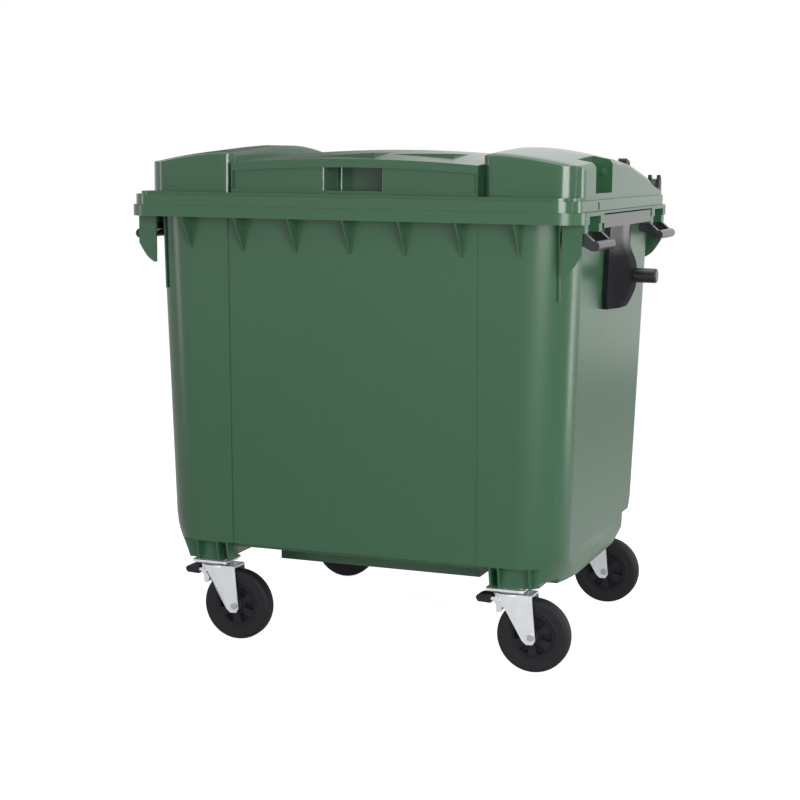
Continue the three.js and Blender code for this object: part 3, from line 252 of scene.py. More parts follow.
class PolishGroup(SharedGroup):
    """The shader node group for a moulding that is polished above a height and rough below it."""

    @staticmethod
    def _build() -> bpy.types.NodeTree:
        """Builds the group.

        Returns:
            A node tree with the output Mask, which is 0 below the span of heights and 1 above it.
        """
        tree = bpy.data.node_groups.new("polished_above", "ShaderNodeTree")
        add_sockets(tree, "INPUT", "Float", "From Height", "To Height")
        add_sockets(tree, "OUTPUT", "Float", "Mask")
        nodes, links = tree.nodes, tree.links
        given, out = nodes.new("NodeGroupInput"), nodes.new("NodeGroupOutput")
        place = nodes.new("ShaderNodeTexCoord")
        split = nodes.new("ShaderNodeSeparateXYZ")
        links.new(place.outputs["Object"], split.inputs["Vector"])
        fade = nodes.new("ShaderNodeMapRange")
        fade.interpolation_type = "SMOOTHSTEP"
        links.new(split.outputs["Z"], fade.inputs["Value"])
        links.new(given.outputs["From Height"], fade.inputs["From Min"])
        links.new(given.outputs["To Height"], fade.inputs["From Max"])
        links.new(fade.outputs["Result"], out.inputs["Mask"])
        return tree


class Paint:
    """Makes each finish's material once and keeps it."""

    _made: dict[str, bpy.types.Material] = {}

    @classmethod
    def of(cls, finish: Finish) -> bpy.types.Material:
        """The material of a finish."""
        if finish.name not in cls._made:
            cls._made[finish.name] = cls._build(finish)
        return cls._made[finish.name]

    @staticmethod
    def _build(finish: Finish) -> bpy.types.Material:
        """Builds a material from its finish.

        Args:
            finish: The finish to make.

        Returns:
            A new material.
        """
        material = bpy.data.materials.new(finish.name)
        material.use_nodes = True
        nodes, links = material.node_tree.nodes, material.node_tree.links
        shader = nodes["Principled BSDF"]
        shader.inputs["Metallic"].default_value = finish.metallic
        shader.inputs["Specular IOR Level"].default_value = finish.specular
        surface = nodes.new("ShaderNodeGroup")
        surface.node_tree = SurfaceGroup.tree()
        for name, value in (
            ("Colour", (*finish.colour, 1.0)),
            ("Tint Spread", finish.tint_spread),
            ("Roughness", finish.roughness),
            ("Gloss Spread", finish.gloss_spread),
            ("Cloud Size", finish.cloud_size),
            ("Grain Size", finish.grain_size),
        ):
            surface.inputs[name].default_value = value
        bump = nodes.new("ShaderNodeBump")
        bump.inputs["Strength"].default_value = finish.grain_height
        bump.inputs["Distance"].default_value = MM
        links.new(surface.outputs["Colour"], shader.inputs["Base Color"])
        links.new(surface.outputs["Roughness"], shader.inputs["Roughness"])
        links.new(surface.outputs["Height"], bump.inputs["Height"])
        links.new(bump.outputs["Normal"], shader.inputs["Normal"])
        if finish.coat_span:
            shader.inputs["Coat Roughness"].default_value = COAT_ROUGHNESS
            polish = nodes.new("ShaderNodeGroup")
            polish.node_tree = PolishGroup.tree()
            for name, height in zip(("From Height", "To Height"), finish.coat_span):
                polish.inputs[name].default_value = height
            links.new(polish.outputs["Mask"], shader.inputs["Coat Weight"])
        return material


# Mesh making


class Curve:
    """Outlines and smooth curves in millimetres."""

    @staticmethod
    def eased(places: Sequence[float], values: Sequence[float], at: float) -> float:
        """Reads a smooth curve that goes through values at rising places.

        Args:
            places: Where the values are given.
            values: The values.
            at: Where the curve is read.

        Returns:
            The curve's value.
        """
        last = len(places) - 1
        at = min(max(at, places[0]), places[last])
        i = next(n for n in range(last) if at <= places[n + 1])
        span = places[i + 1] - places[i]

        def slope(n: int) -> float:
            """The curve's slope at one of the places."""
            a, b = max(n - 1, 0), min(n + 1, last)
            return (values[b] - values[a]) / (places[b] - places[a])

        t = (at - places[i]) / span
        return (
            (2 * t**3 - 3 * t**2 + 1) * values[i]
            + (t**3 - 2 * t**2 + t) * span * slope(i)
            + (3 * t**2 - 2 * t**3) * values[i + 1]
            + (t**3 - t**2) * span * slope(i + 1)
        )

    @staticmethod
    def steps(count: int, start: float = 0.0, end: float = 1.0) -> list[float]:
        """Evenly spaced numbers from start to end."""
        return [start + (end - start) * i / count for i in range(count + 1)]

    @staticmethod
    def arc(u: float, v: float, radius: float, start: float, end: float, count: int = 8) -> Outline:
        """Points round (u, v) from one angle to another."""
        angles = Curve.steps(count, start, end)
        return [(u + radius * math.cos(a), v + radius * math.sin(a)) for a in angles]

    @staticmethod
    def cornered(
        half_x: float,
        half_y: float,
        front: tuple[float, float],
        rear: tuple[float, float],
        round_share: float = 1.0,
        count: int = 14,
    ) -> Outline:
        """A rectangle with elliptic corners, blended towards straight chamfers as the round share falls.

        Args:
            half_x: Half its size along X.
            half_y: Half its size along Y.
            front: The front corners' reach along X and along Y.
            rear: The rear corners' reach along X and along Y.
            round_share: 1 for round corners, 0 for chamfers.
            count: How many steps a corner has.

        Returns:
            The outline, from the rear right corner round by the left.
        """
        points: Outline = []
        for quarter, (sign_x, sign_y) in enumerate(((1, 1), (-1, 1), (-1, -1), (1, -1))):
            reach_x, reach_y = rear if sign_y > 0 else front
            for share in Curve.steps(count):
                angle = (quarter + share) * math.pi / 2
                across, along = math.cos(angle), math.sin(angle)
                total = abs(across) + abs(along)
                cut_x = across / total + (across - across / total) * round_share
                cut_y = along / total + (along - along / total) * round_share
                x = sign_x * (half_x - reach_x) + cut_x * reach_x
                points.append((x, sign_y * (half_y - reach_y) + cut_y * reach_y))
        return points

    @staticmethod
    def rounded(half_x: float, half_y: float, radius: float, count: int = 14) -> Outline:
        """A rectangle with four round corners of one radius."""
        return Curve.cornered(half_x, half_y, (radius, radius), (radius, radius), 1.0, count)


class Solid:
    """Makes closed meshes from sizes in millimetres and joins, cuts and softens them."""

    @staticmethod
    def from_faces(name: str, points: Sequence[Point], faces: Sequence[Sequence[int]]) -> bpy.types.Object:
        """Makes an object from points and faces.

        Args:
            name: The object's name.
            points: Corners in millimetres.
            faces: Corner numbers of each face.

        Returns:
            The new object, with its faces pointing outwards.
        """
        mesh = bpy.data.meshes.new(name)
        mesh.from_pydata([Vector(p) * MM for p in points], [], [list(f) for f in faces])
        body = bmesh.new()
        body.from_mesh(mesh)
        bmesh.ops.remove_doubles(body, verts=body.verts, dist=SAME_POINT)
        bmesh.ops.recalc_face_normals(body, faces=body.faces)
        body.to_mesh(mesh)
        body.free()
        made = bpy.data.objects.new(name, mesh)
        bpy.context.scene.collection.objects.link(made)
        return made

    @staticmethod
    def loft(name: str, rings: Sequence[Ring], capped: bool = True) -> bpy.types.Object:
        """Makes a skin through rings that all have as many points.

        Args:
            name: The object's name.
            rings: Rings of points in millimetres.
            capped: Whether the first and the last ring are closed; otherwise the two are joined.

        Returns:
            The new object.
        """
        count = len(rings[0])
        points = [point for ring in rings for point in ring]
        faces: list[list[int]] = []
        last = len(rings) if not capped else len(rings) - 1
        for row in range(last):
            here, there = row * count, ((row + 1) % len(rings)) * count
            for i in range(count):
                j = (i + 1) % count
                faces.append([here + i, here + j, there + j, there + i])
        if capped:
            faces.append(list(range(count)))
            faces.append([(len(rings) - 1) * count + i for i in range(count)])
        return Solid.from_faces(name, points, faces)

    @staticmethod
    def box(name: str, low: Point, high: Point) -> bpy.types.Object:
        """Makes a box between two corners."""
        x0, y0, z0 = (min(a, b) for a, b in zip(low, high))
        x1, y1, z1 = (max(a, b) for a, b in zip(low, high))
        return Solid.prism(name, Axis.Z, [(x0, y0), (x1, y0), (x1, y1), (x0, y1)], z0, z1)

    @staticmethod
    def prism(name: str, axis: Axis, outline: Outline, start: float, end: float) -> bpy.types.Object:
        """Pushes an outline along an axis.

        Args:
            name: The object's name.
            axis: X takes the outline as (y, z), Y as (x, z) and Z as (x, y).
            outline: The outline's corners.
            start: Where the prism starts.
            end: Where it ends.

        Returns:
            The new object.
        """
        return Solid.loft(name, [[Solid.spot(axis, u, v, at) for u, v in outline] for at in (start, end)])

    @staticmethod
    def spot(axis: Axis, u: float, v: float, at: float) -> Point:
        """The point that lies at (u, v) across an axis and at a place along it."""
        if axis is Axis.X:
            return (at, u, v)
        return (u, at, v) if axis is Axis.Y else (u, v, at)

    @staticmethod
    def turned(name: str, axis: Axis, profile: Outline, centre: Point, sides: int = 64) -> bpy.types.Object:
        """Turns a closed profile of (radius, place along the axis) about an axis.

        Args:
            name: The object's name.
            axis: The axis that the profile turns about.
            profile: The profile's corners, which never reach the axis.
            centre: A point that the axis goes through.
            sides: How many steps the turn has.

        Returns:
            The new object.
        """
        rings: list[Ring] = []
        for step in range(sides):
            angle = step / sides * math.tau
            across, along = math.cos(angle), math.sin(angle)
            ring = [Solid.spot(axis, radius * across, radius * along, at) for radius, at in profile]
            rings.append([tuple(a + b for a, b in zip(point, centre)) for point in ring])
        return Solid.loft(name, rings, capped=False)

    @staticmethod
    def rod(
        name: str, axis: Axis, radius: float, start: Point, end: Point, sides: int = 48
    ) -> bpy.types.Object:
        """Makes a round bar along an axis with a small chamfer at both ends.

        Args:
            name: The object's name.
            axis: The bar's axis.
            radius: The bar's radius.
            start: The middle of one end.
            end: The middle of the other end.
            sides: How many sides the bar has.

        Returns:
            The new object.
        """
        number = ("x", "y", "z").index(axis.value)
        low, high = sorted((start[number], end[number]))
        edge = min(radius * ROD_EDGE_SHARE, ROD_EDGE_MOST)
        rings: list[Ring] = []
        narrow = radius - edge
        for at, size in ((low, narrow), (low + edge, radius), (high - edge, radius), (high, narrow)):
            ring: Ring = []
            for step in range(sides):
                angle = step / sides * math.tau
                spot = list(Solid.spot(axis, size * math.cos(angle), size * math.sin(angle), at))
                for other in range(3):
                    if other != number:
                        spot[other] += start[other]
                ring.append(tuple(spot))
            rings.append(ring)
        return Solid.loft(name, rings)

    @staticmethod
    def joined(base: bpy.types.Object, others: Sequence[bpy.types.Object], cut: Cut) -> bpy.types.Object:
        """Joins solids to a base, or cuts it with them, and uses them up.

        Args:
            base: The solid that is kept.
            others: The solids that it is joined with.
            cut: How they are joined.

        Returns:
            The base, changed.
        """
        for other in others:
            step = base.modifiers.new("join", "BOOLEAN")
            step.operation = cut.value
            step.solver = "MANIFOLD"
            step.object = other
            Solid.bake(base)
            bpy.data.objects.remove(other, do_unlink=True)
        return base

    @staticmethod
    def bake(piece: bpy.types.Object) -> None:
        """Turns what a piece's modifiers make into its plain mesh."""
        bpy.context.view_layer.update()
        graph = bpy.context.evaluated_depsgraph_get()
        made = bpy.data.meshes.new_from_object(piece.evaluated_get(graph))
        piece.modifiers.clear()
        piece.data = made

    @staticmethod
    def softened(piece: bpy.types.Object, width: float, angle: float = 32.0) -> bpy.types.Object:
        """Rounds a piece's edges and shades it smooth between them.

        Args:
            piece: The piece.
            width: The rounding's width in millimetres, or 0 for none.
            angle: The least angle in degrees of an edge that is rounded.

        Returns:
            The piece, changed.
        """
        body = bmesh.new()
        body.from_mesh(piece.data)
        bmesh.ops.remove_doubles(body, verts=body.verts, dist=WELD_DISTANCE)
        bmesh.ops.dissolve_limit(body, angle_limit=FLAT_ANGLE, verts=body.verts, edges=body.edges)
        body.to_mesh(piece.data)
        body.free()
        if width > 0:
            bevel = piece.modifiers.new("soften", "BEVEL")
            bevel.width = width * MM
            bevel.segments = EDGE_STEPS
            bevel.limit_method = "ANGLE"
            bevel.angle_limit = math.radians(angle)
            bevel.use_clamp_overlap = True
            Solid.bake(piece)
        piece.data.shade_smooth()
        piece.data.set_sharp_from_angle(angle=math.radians(angle + SHARP_MARGIN))
        weighted = piece.modifiers.new("flat_faces", "WEIGHTED_NORMAL")
        weighted.keep_sharp = True
        Solid.bake(piece)
        return piece


def dress(
    piece: bpy.types.Object,
    finish: Finish,
    body: str,
    nodes: Sequence[str] = (),
) -> bpy.types.Object:
    """Gives a piece its finish, its body and the CAD nodes that it stands for.

    Args:
        piece: The piece.
        finish: Its finish.
        body: The body that it rides on.
        nodes: The CAD nodes that it replaces.

    Returns:
        The piece.
    """
    piece.data.materials.clear()
    piece.data.materials.append(Paint.of(finish))
    for polygon in piece.data.polygons:
        polygon.material_index = 0
    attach(piece, body)
    if nodes:
        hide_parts(*nodes)
    LOG.info("%s: %d faces on %s", piece.name, len(piece.data.polygons), body)
    return piece


# Geometry nodes


class Repeat(Enum):
    """How a Geometry Nodes tree sets out its copies."""

    ROW = "copies_in_a_row"
    TURN = "copies_round_an_axle"


class Repeater:
    """Geometry Nodes trees that copy a small mesh along a row or round an axle along Y."""

    _trees: dict[Repeat, bpy.types.NodeTree] = {}

    @classmethod
    def tree(cls, kind: Repeat) -> bpy.types.NodeTree:
        """The tree of that kind, built once."""
        if kind not in cls._trees:
            cls._trees[kind] = cls._build(kind)
        return cls._trees[kind]

    @staticmethod
    def _build(kind: Repeat) -> bpy.types.NodeTree:
        """Builds a tree with the inputs Copies, Step, Centre and Finish.

        Args:
            kind: How the copies are set out.

        Returns:
            The new tree, which ends in Realize Instances and Set Material.
        """
        tree = bpy.data.node_groups.new(kind.value, "GeometryNodeTree")
        add_sockets(tree, "INPUT", "Geometry", "Geometry")
        add_sockets(tree, "INPUT", "Int", "Copies")
        add_sockets(tree, "INPUT", "Vector", "Step", "Centre")
        add_sockets(tree, "INPUT", "Material", "Finish")
        add_sockets(tree, "OUTPUT", "Geometry", "Geometry")
        nodes, links = tree.nodes, tree.links
        given, out = nodes.new("NodeGroupInput"), nodes.new("NodeGroupOutput")
        line = nodes.new("GeometryNodeMeshLine")
        line.mode = "OFFSET"
        links.new(given.outputs["Copies"], line.inputs["Count"])
        links.new(given.outputs["Centre"], line.inputs["Start Location"])
        spread = nodes.new("GeometryNodeInstanceOnPoints")
        links.new(line.outputs["Mesh"], spread.inputs["Points"])
        links.new(given.outputs["Geometry"], spread.inputs["Instance"])
        if kind is Repeat.ROW:
            links.new(given.outputs["Step"], line.inputs["Offset"])
        else:
            line.inputs["Offset"].default_value = (0.0, 0.0, 0.0)
            number = nodes.new("GeometryNodeInputIndex")
            turn = nodes.new("ShaderNodeVectorMath")
            turn.operation = "SCALE"
            links.new(given.outputs["Step"], turn.inputs[0])
            links.new(number.outputs["Index"], turn.inputs["Scale"])
            links.new(turn.outputs["Vector"], spread.inputs["Rotation"])
        real = nodes.new("GeometryNodeRealizeInstances")
        paint = nodes.new("GeometryNodeSetMaterial")
        links.new(spread.outputs["Instances"], real.inputs["Geometry"])
        links.new(real.outputs["Geometry"], paint.inputs["Geometry"])
        links.new(given.outputs["Finish"], paint.inputs["Material"])
        links.new(paint.outputs["Geometry"], out.inputs["Geometry"])
        return tree

    @classmethod
    def spread(
        cls,
        piece: bpy.types.Object,
        kind: Repeat,
        copies: int,
        step: Point,
        centre: Point,
        finish: Finish,
    ) -> bpy.types.Object:
        """Copies a piece's mesh and keeps the copies as its plain mesh.

        Args:
            piece: The piece with one copy's mesh.
            kind: How the copies are set out.
            copies: How many there are.
            step: From one copy to the next, in millimetres or, round an axle, in radians.
            centre: Where the first copy's origin goes, in millimetres.
            finish: The copies' finish.

        Returns:
            The piece, changed.
        """
        tree = cls.tree(kind)
        maker = piece.modifiers.new("copies", "NODES")
        maker.node_group = tree
        scale = MM if kind is Repeat.ROW else 1.0
        values = {
            "Copies": copies,
            "Step": tuple(value * scale for value in step),
            "Centre": tuple(value * MM for value in centre),
            "Finish": Paint.of(finish),
        }
        for item in tree.interface.items_tree:
            if item.item_type == "SOCKET" and item.in_out == "INPUT" and item.name in values:
                maker[item.identifier] = values[item.name]
        Solid.bake(piece)
        return piece


# Sub-assemblies


def carried(node: str, finish: Finish, width: float = 0.8) -> bpy.types.Object:
    """Puts a softened copy in place of a CAD node.

    Args:
        node: The node's name.
        finish: The copy's finish.
        width: The rounding's width in millimetres.

    Returns:
        The dressed copy.
    """
    source = frame["nodes"][node]
    piece = bpy.data.objects.new(f"{node}_shape", source.data.copy())
    piece.data.materials.clear()
    bpy.context.scene.collection.objects.link(piece)
    Solid.softened(piece, width)
    return dress(piece, finish, body_of(source)[0], [node])


@dataclass
class Wheel:
    """A wheel: a moulded centre with blind pockets between its spokes, and a solid tyre."""

    seat: str
    axle_x: float
    axle_y: float
    radius: float = 100.0
    tread_half: float = 23.0
    hub_radius: float = 61.7
    hub_half: float = 22.0
    bore: float = 6.4
    boss_half: float = 27.0
    boss_radius: float = 20.0
    face_half: float = 17.0
    web_half: float = 4.0
    pockets: int = 6
    pocket_inner: float = 25.0
    pocket_outer: float = 51.0
    pocket_half_angle: float = math.radians(14.3)
    pocket_steps: int = 5
    pocket_clear: float = 3.0
    rim_width: float = 6.5
    chamfer: float = 1.4
    tyre_gap: float = 0.4
    bead: Sequence[tuple[float, float]] = ((0.0, 2.0), (1.5, 0.4), (6.0, 0.0), (8.0, 1.1), (10.0, 0.0))
    shoulder: Sequence[tuple[float, float]] = ((13.0, 0.0), (8.0, 0.9), (4.4, 3.4), (1.7, 7.5), (0.35, 13.0))
    fillets: Sequence[tuple[float, float]] = ((0.8, 2.0), (2.6, 0.0), (-2.4, 0.0), (-0.8, 1.6))
    tyre_angle: float = 40.0
    hub_angle: float = 34.0
    sides: int = 96

    @property
    def centre(self) -> Point:
        """The middle of the axle."""
        return (self.axle_x, self.axle_y, self.radius)

    def tyre(self) -> bpy.types.Object:
        """Turns the tyre, with a round shoulder and a fine groove at each side.

        Returns:
            The dressed tyre.
        """
        inner, half, out = self.hub_radius + self.tyre_gap, self.tread_half, self.radius
        side = [(inner + away, half - deep) for away, deep in self.bead]
        side += [(out - away, half - deep) for away, deep in self.shoulder]
        profile = [*side, (out, 0.0), *((r, -y) for r, y in reversed(side))]
        made = Solid.turned(f"tyre_{self.seat}_shape", Axis.Y, profile, self.centre, self.sides)
        Solid.softened(made, 0.0, self.tyre_angle)
        return dress(made, RUBBER, f"wheel_{self.seat}", [f"tyre_{self.seat}"])

    def hub(self) -> bpy.types.Object:
        """Turns the wheel's centre and sinks the pockets into both of its faces.

        Returns:
            The dressed centre.
        """
        boss, rim, cut = self.boss_radius, self.hub_radius - self.rim_width, self.chamfer
        roots = (boss, boss, rim, rim)
        half = [
            (self.bore, self.boss_half),
            (boss - cut, self.boss_half),
            (boss, self.boss_half - cut),
            *((root + away, self.face_half + high) for root, (away, high) in zip(roots, self.fillets)),
            (rim, self.hub_half - cut),
            (rim + cut, self.hub_half),
            (self.hub_radius, self.hub_half),
        ]
        profile = [*half, *((r, -y) for r, y in reversed(half))]
        centre = Solid.turned(f"wheel_hub_{self.seat}_shape", Axis.Y, profile, self.centre, self.sides)
        turn = math.tau / self.pockets
        clear = self.boss_half + self.pocket_clear
        for low, high in ((self.web_half, clear), (-clear, -self.web_half)):
            pocket = Solid.prism("pocket", Axis.Y, self._pocket(turn / 2), low, high)
            Repeater.spread(pocket, Repeat.TURN, self.pockets, (0.0, turn, 0.0), self.centre, HUB_BLACK)
            Solid.joined(centre, [pocket], Cut.TAKE)
        Solid.softened(centre, 0.0, self.hub_angle)
        return dress(centre, HUB_BLACK, f"wheel_{self.seat}", [f"wheel_hub_{self.seat}"])

    def _pocket(self, middle: float) -> Outline:
        """The outline of one pocket, about the angle given."""
        arcs: Outline = []
        for radius, direction in ((self.pocket_inner, 1.0), (self.pocket_outer, -1.0)):
            for share in Curve.steps(self.pocket_steps, -direction, direction):
                angle = middle + share * self.pocket_half_angle
                arcs.append((radius * math.sin(angle), radius * math.cos(angle)))
        return arcs


@dataclass
class Castor:
    """A swivel castor: plate, race, fork, axle, wheel and, at the front, a foot brake."""

    seat: str
    x: float
    y: float
    braked: bool
    trail: float = 70.0
    bolt_x: float = 41.0
    bolt_y: float = 30.0
    plate_bottom: float = 221.7
    bolt_radius: float = 9.0
    bolt_height: float = 6.2
    washer: float = 1.4
    washer_share: float = 1.12
    washer_step: float = 1.6
    tip: float = 0.8
    tip_share: float = 0.90
    bolt_edge: float = 0.4
    bolt_angle: float = 28.0

    def build(self) -> None:
        """Builds and dresses the whole castor."""
        for node, finish, width in (
            (f"castor_plate_{self.seat}", ZINC, 0.9),
            (f"swivel_race_{self.seat}", STEEL, 0.8),
            (f"castor_fork_{self.seat}", ZINC, 1.2),
            (f"wheel_axle_{self.seat}", STEEL, 0.8),
        ):
            carried(node, finish, width)
        self.bolts()
        wheel = Wheel(self.seat, self.x + self.trail, self.y)
        wheel.hub()
        wheel.tyre()
        if self.braked:
            carried(f"brake_lever_{self.seat}", ZINC, 0.8)
            carried(f"brake_pedal_{self.seat}", SATIN_BLACK, 2.2)

    def bolts(self) -> bpy.types.Object:
        """Sets out the four plate bolts.

        Returns:
            The dressed bolts.
        """
        flats = [(math.tau * i / 6 + math.pi / 6) for i in range(6)]
        rings: list[Ring] = []
        high, wide = self.bolt_height, self.washer_share
        for z, size in (
            (0.0, self.tip_share),
            (self.tip, 1.0),
            (high - self.washer_step, 1.0),
            (high - self.washer, wide),
            (high, wide),
        ):
            reach = self.bolt_radius * size / wide
            rings.append([(reach * math.cos(a), reach * math.sin(a), z) for a in flats])
        head = Solid.loft(f"plate_bolts_{self.seat}_shape", rings)
        low = self.plate_bottom - self.bolt_height
        corner = (self.x - self.bolt_x, self.y - self.bolt_y, low)
        Repeater.spread(head, Repeat.ROW, 2, (2 * self.bolt_x, 0.0, 0.0), corner, STEEL)
        Repeater.spread(head, Repeat.ROW, 2, (0.0, 2 * self.bolt_y, 0.0), (0.0, 0.0, 0.0), STEEL)
        Solid.softened(head, self.bolt_edge, self.bolt_angle)
        nodes = [f"plate_bolt_{self.seat}_{i}" for i in range(1, 5)]
        return dress(head, STEEL, "container", nodes)


@dataclass
class Trunnions:
    """The two lifting trunnions and the four hand grips on the short sides."""

    tub: "Tub"
    bottom: float = 946.0
    top: float = 1207.0
    strip_half: float = 280.0
    strip_outer: float = 634.0
    strip_wall: float = 7.0
    strip_height: float = 34.0
    neck_half: float = 122.0
    foot_half: float = 110.0
    nose_half: float = 34.0
    nose_half_height: float = 30.0
    nose_x: float = 652.0
    edge_depth: float = 14.0
    pin_height: float = 1034.0
    slot_centre: tuple[float, float] = (39.0, 1129.0)
    slot_half: tuple[float, float] = (3.0, 8.0)
    wall_gap: float = 0.4
    slot_inner: float = 6.0
    slot_overrun: float = 10.0
    toe_fall: float = 4.0
    belly_rise: float = 7.0
    belly_share: float = 0.22
    foot_share: float = 0.3
    soft_share: float = 0.45
    edge: float = 1.8
    edge_angle: float = 30.0
    sides: Sequence[tuple[str, int]] = (("left", -1), ("right", 1))

    def build(self) -> None:
        """Builds and dresses both sides."""
        for name, side in self.sides:
            self.bracket(name, side)
            carried(f"trunnion_pin_{name}", GLOSS_BLACK, 1.2)
            for end in ("front", "rear"):
                carried(f"side_grip_{end}_{name}", GLOSS_BLACK, 1.6)

    def bracket(self, name: str, side: int) -> bpy.types.Object:
        """Builds a bracket: the strip under the rim and the nose that swells round the pin.

        Args:
            name: Which side it is on.
            side: 1 on the right, -1 on the left.

        Returns:
            The dressed bracket.
        """
        low_strip = self.top - self.strip_height
        levels = sorted({*Curve.steps(26, self.bottom, low_strip), *Curve.steps(4, low_strip, self.top)})
        nose = Solid.loft(f"trunnion_bracket_{name}_shape", [self._ring(side, z) for z in levels])
        inner = self.tub.wall_x(self.top) + self.wall_gap
        strip = Solid.box(
            "strip",
            (side * (self.strip_outer - self.strip_wall), -self.strip_half, low_strip),
            (side * self.strip_outer, self.strip_half, self.top),
        )
        shelf = Solid.box(
            "shelf",
            (side * inner, -self.strip_half, self.top - self.strip_wall),
            (side * self.strip_outer, self.strip_half, self.top),
        )
        y, z = self.slot_centre
        half_y, half_z = self.slot_half
        slot = Solid.box(
            "slot",
            (side * (self.strip_outer - self.slot_inner), y - half_y, z - half_z),
            (side * (self.nose_x + self.slot_overrun), y + half_y, z + half_z),
        )
        Solid.joined(nose, [strip, shelf], Cut.ADD)
        Solid.joined(nose, [slot], Cut.TAKE)
        Solid.softened(nose, self.edge, self.edge_angle)
        return dress(nose, BRACKET_BLACK, "container", [f"trunnion_bracket_{name}"])

    def _ring(self, side: int, z: float) -> Ring:
        """A bracket's cross-section at a height.

        Args:
            side: 1 on the right, -1 on the left.
            z: The height.

        Returns:
            The points, from the wall round the nose.
        """
        rise = self.pin_height - self.bottom
        places = (
            self.bottom,
            self.bottom + self.belly_share * rise,
            self.pin_height - self.nose_half_height,
            self.pin_height + self.nose_half_height,
            self.pin_height + rise,
            self.top,
        )
        flush = self.strip_outer - self.strip_wall / 2
        reaches = (flush - self.toe_fall, flush + self.belly_rise, self.nose_x, self.nose_x, flush, flush)
        peak = Curve.eased(places, reaches, z)
        foot_places = (self.bottom, self.bottom + self.foot_share * rise, self.top)
        foot = Curve.eased(foot_places, (self.foot_half, self.neck_half, self.neck_half), z)
        inner = self.tub.wall_x(z) + self.wall_gap
        edge = inner + self.edge_depth
        points = [(side * inner, -foot, z)]
        for share in Curve.steps(28, -1.0, 1.0):
            y = share * foot
            fall = max(0.0, (abs(y) - self.nose_half) / (foot - self.nose_half))
            drop = fall * fall * (3.0 - 2.0 * fall) * self.soft_share + fall * (1.0 - self.soft_share)
            points.append((side * (peak - (peak - edge) * drop), y, z))
        points.append((side * inner, foot, z))
        return points


@dataclass
class Hinges:
    """The hinge brackets, their pins and the lid's buffers."""

    names: Sequence[str] = ("left", "right")

    def build(self) -> None:
        """Builds and dresses both hinges and buffers."""
        for name in self.names:
            carried(f"hinge_bracket_{name}", SATIN_BLACK, 1.4)
            carried(f"hinge_pin_{name}", STEEL, 0.8)
            carried(f"lid_buffer_{name}", SATIN_BLACK, 2.0)


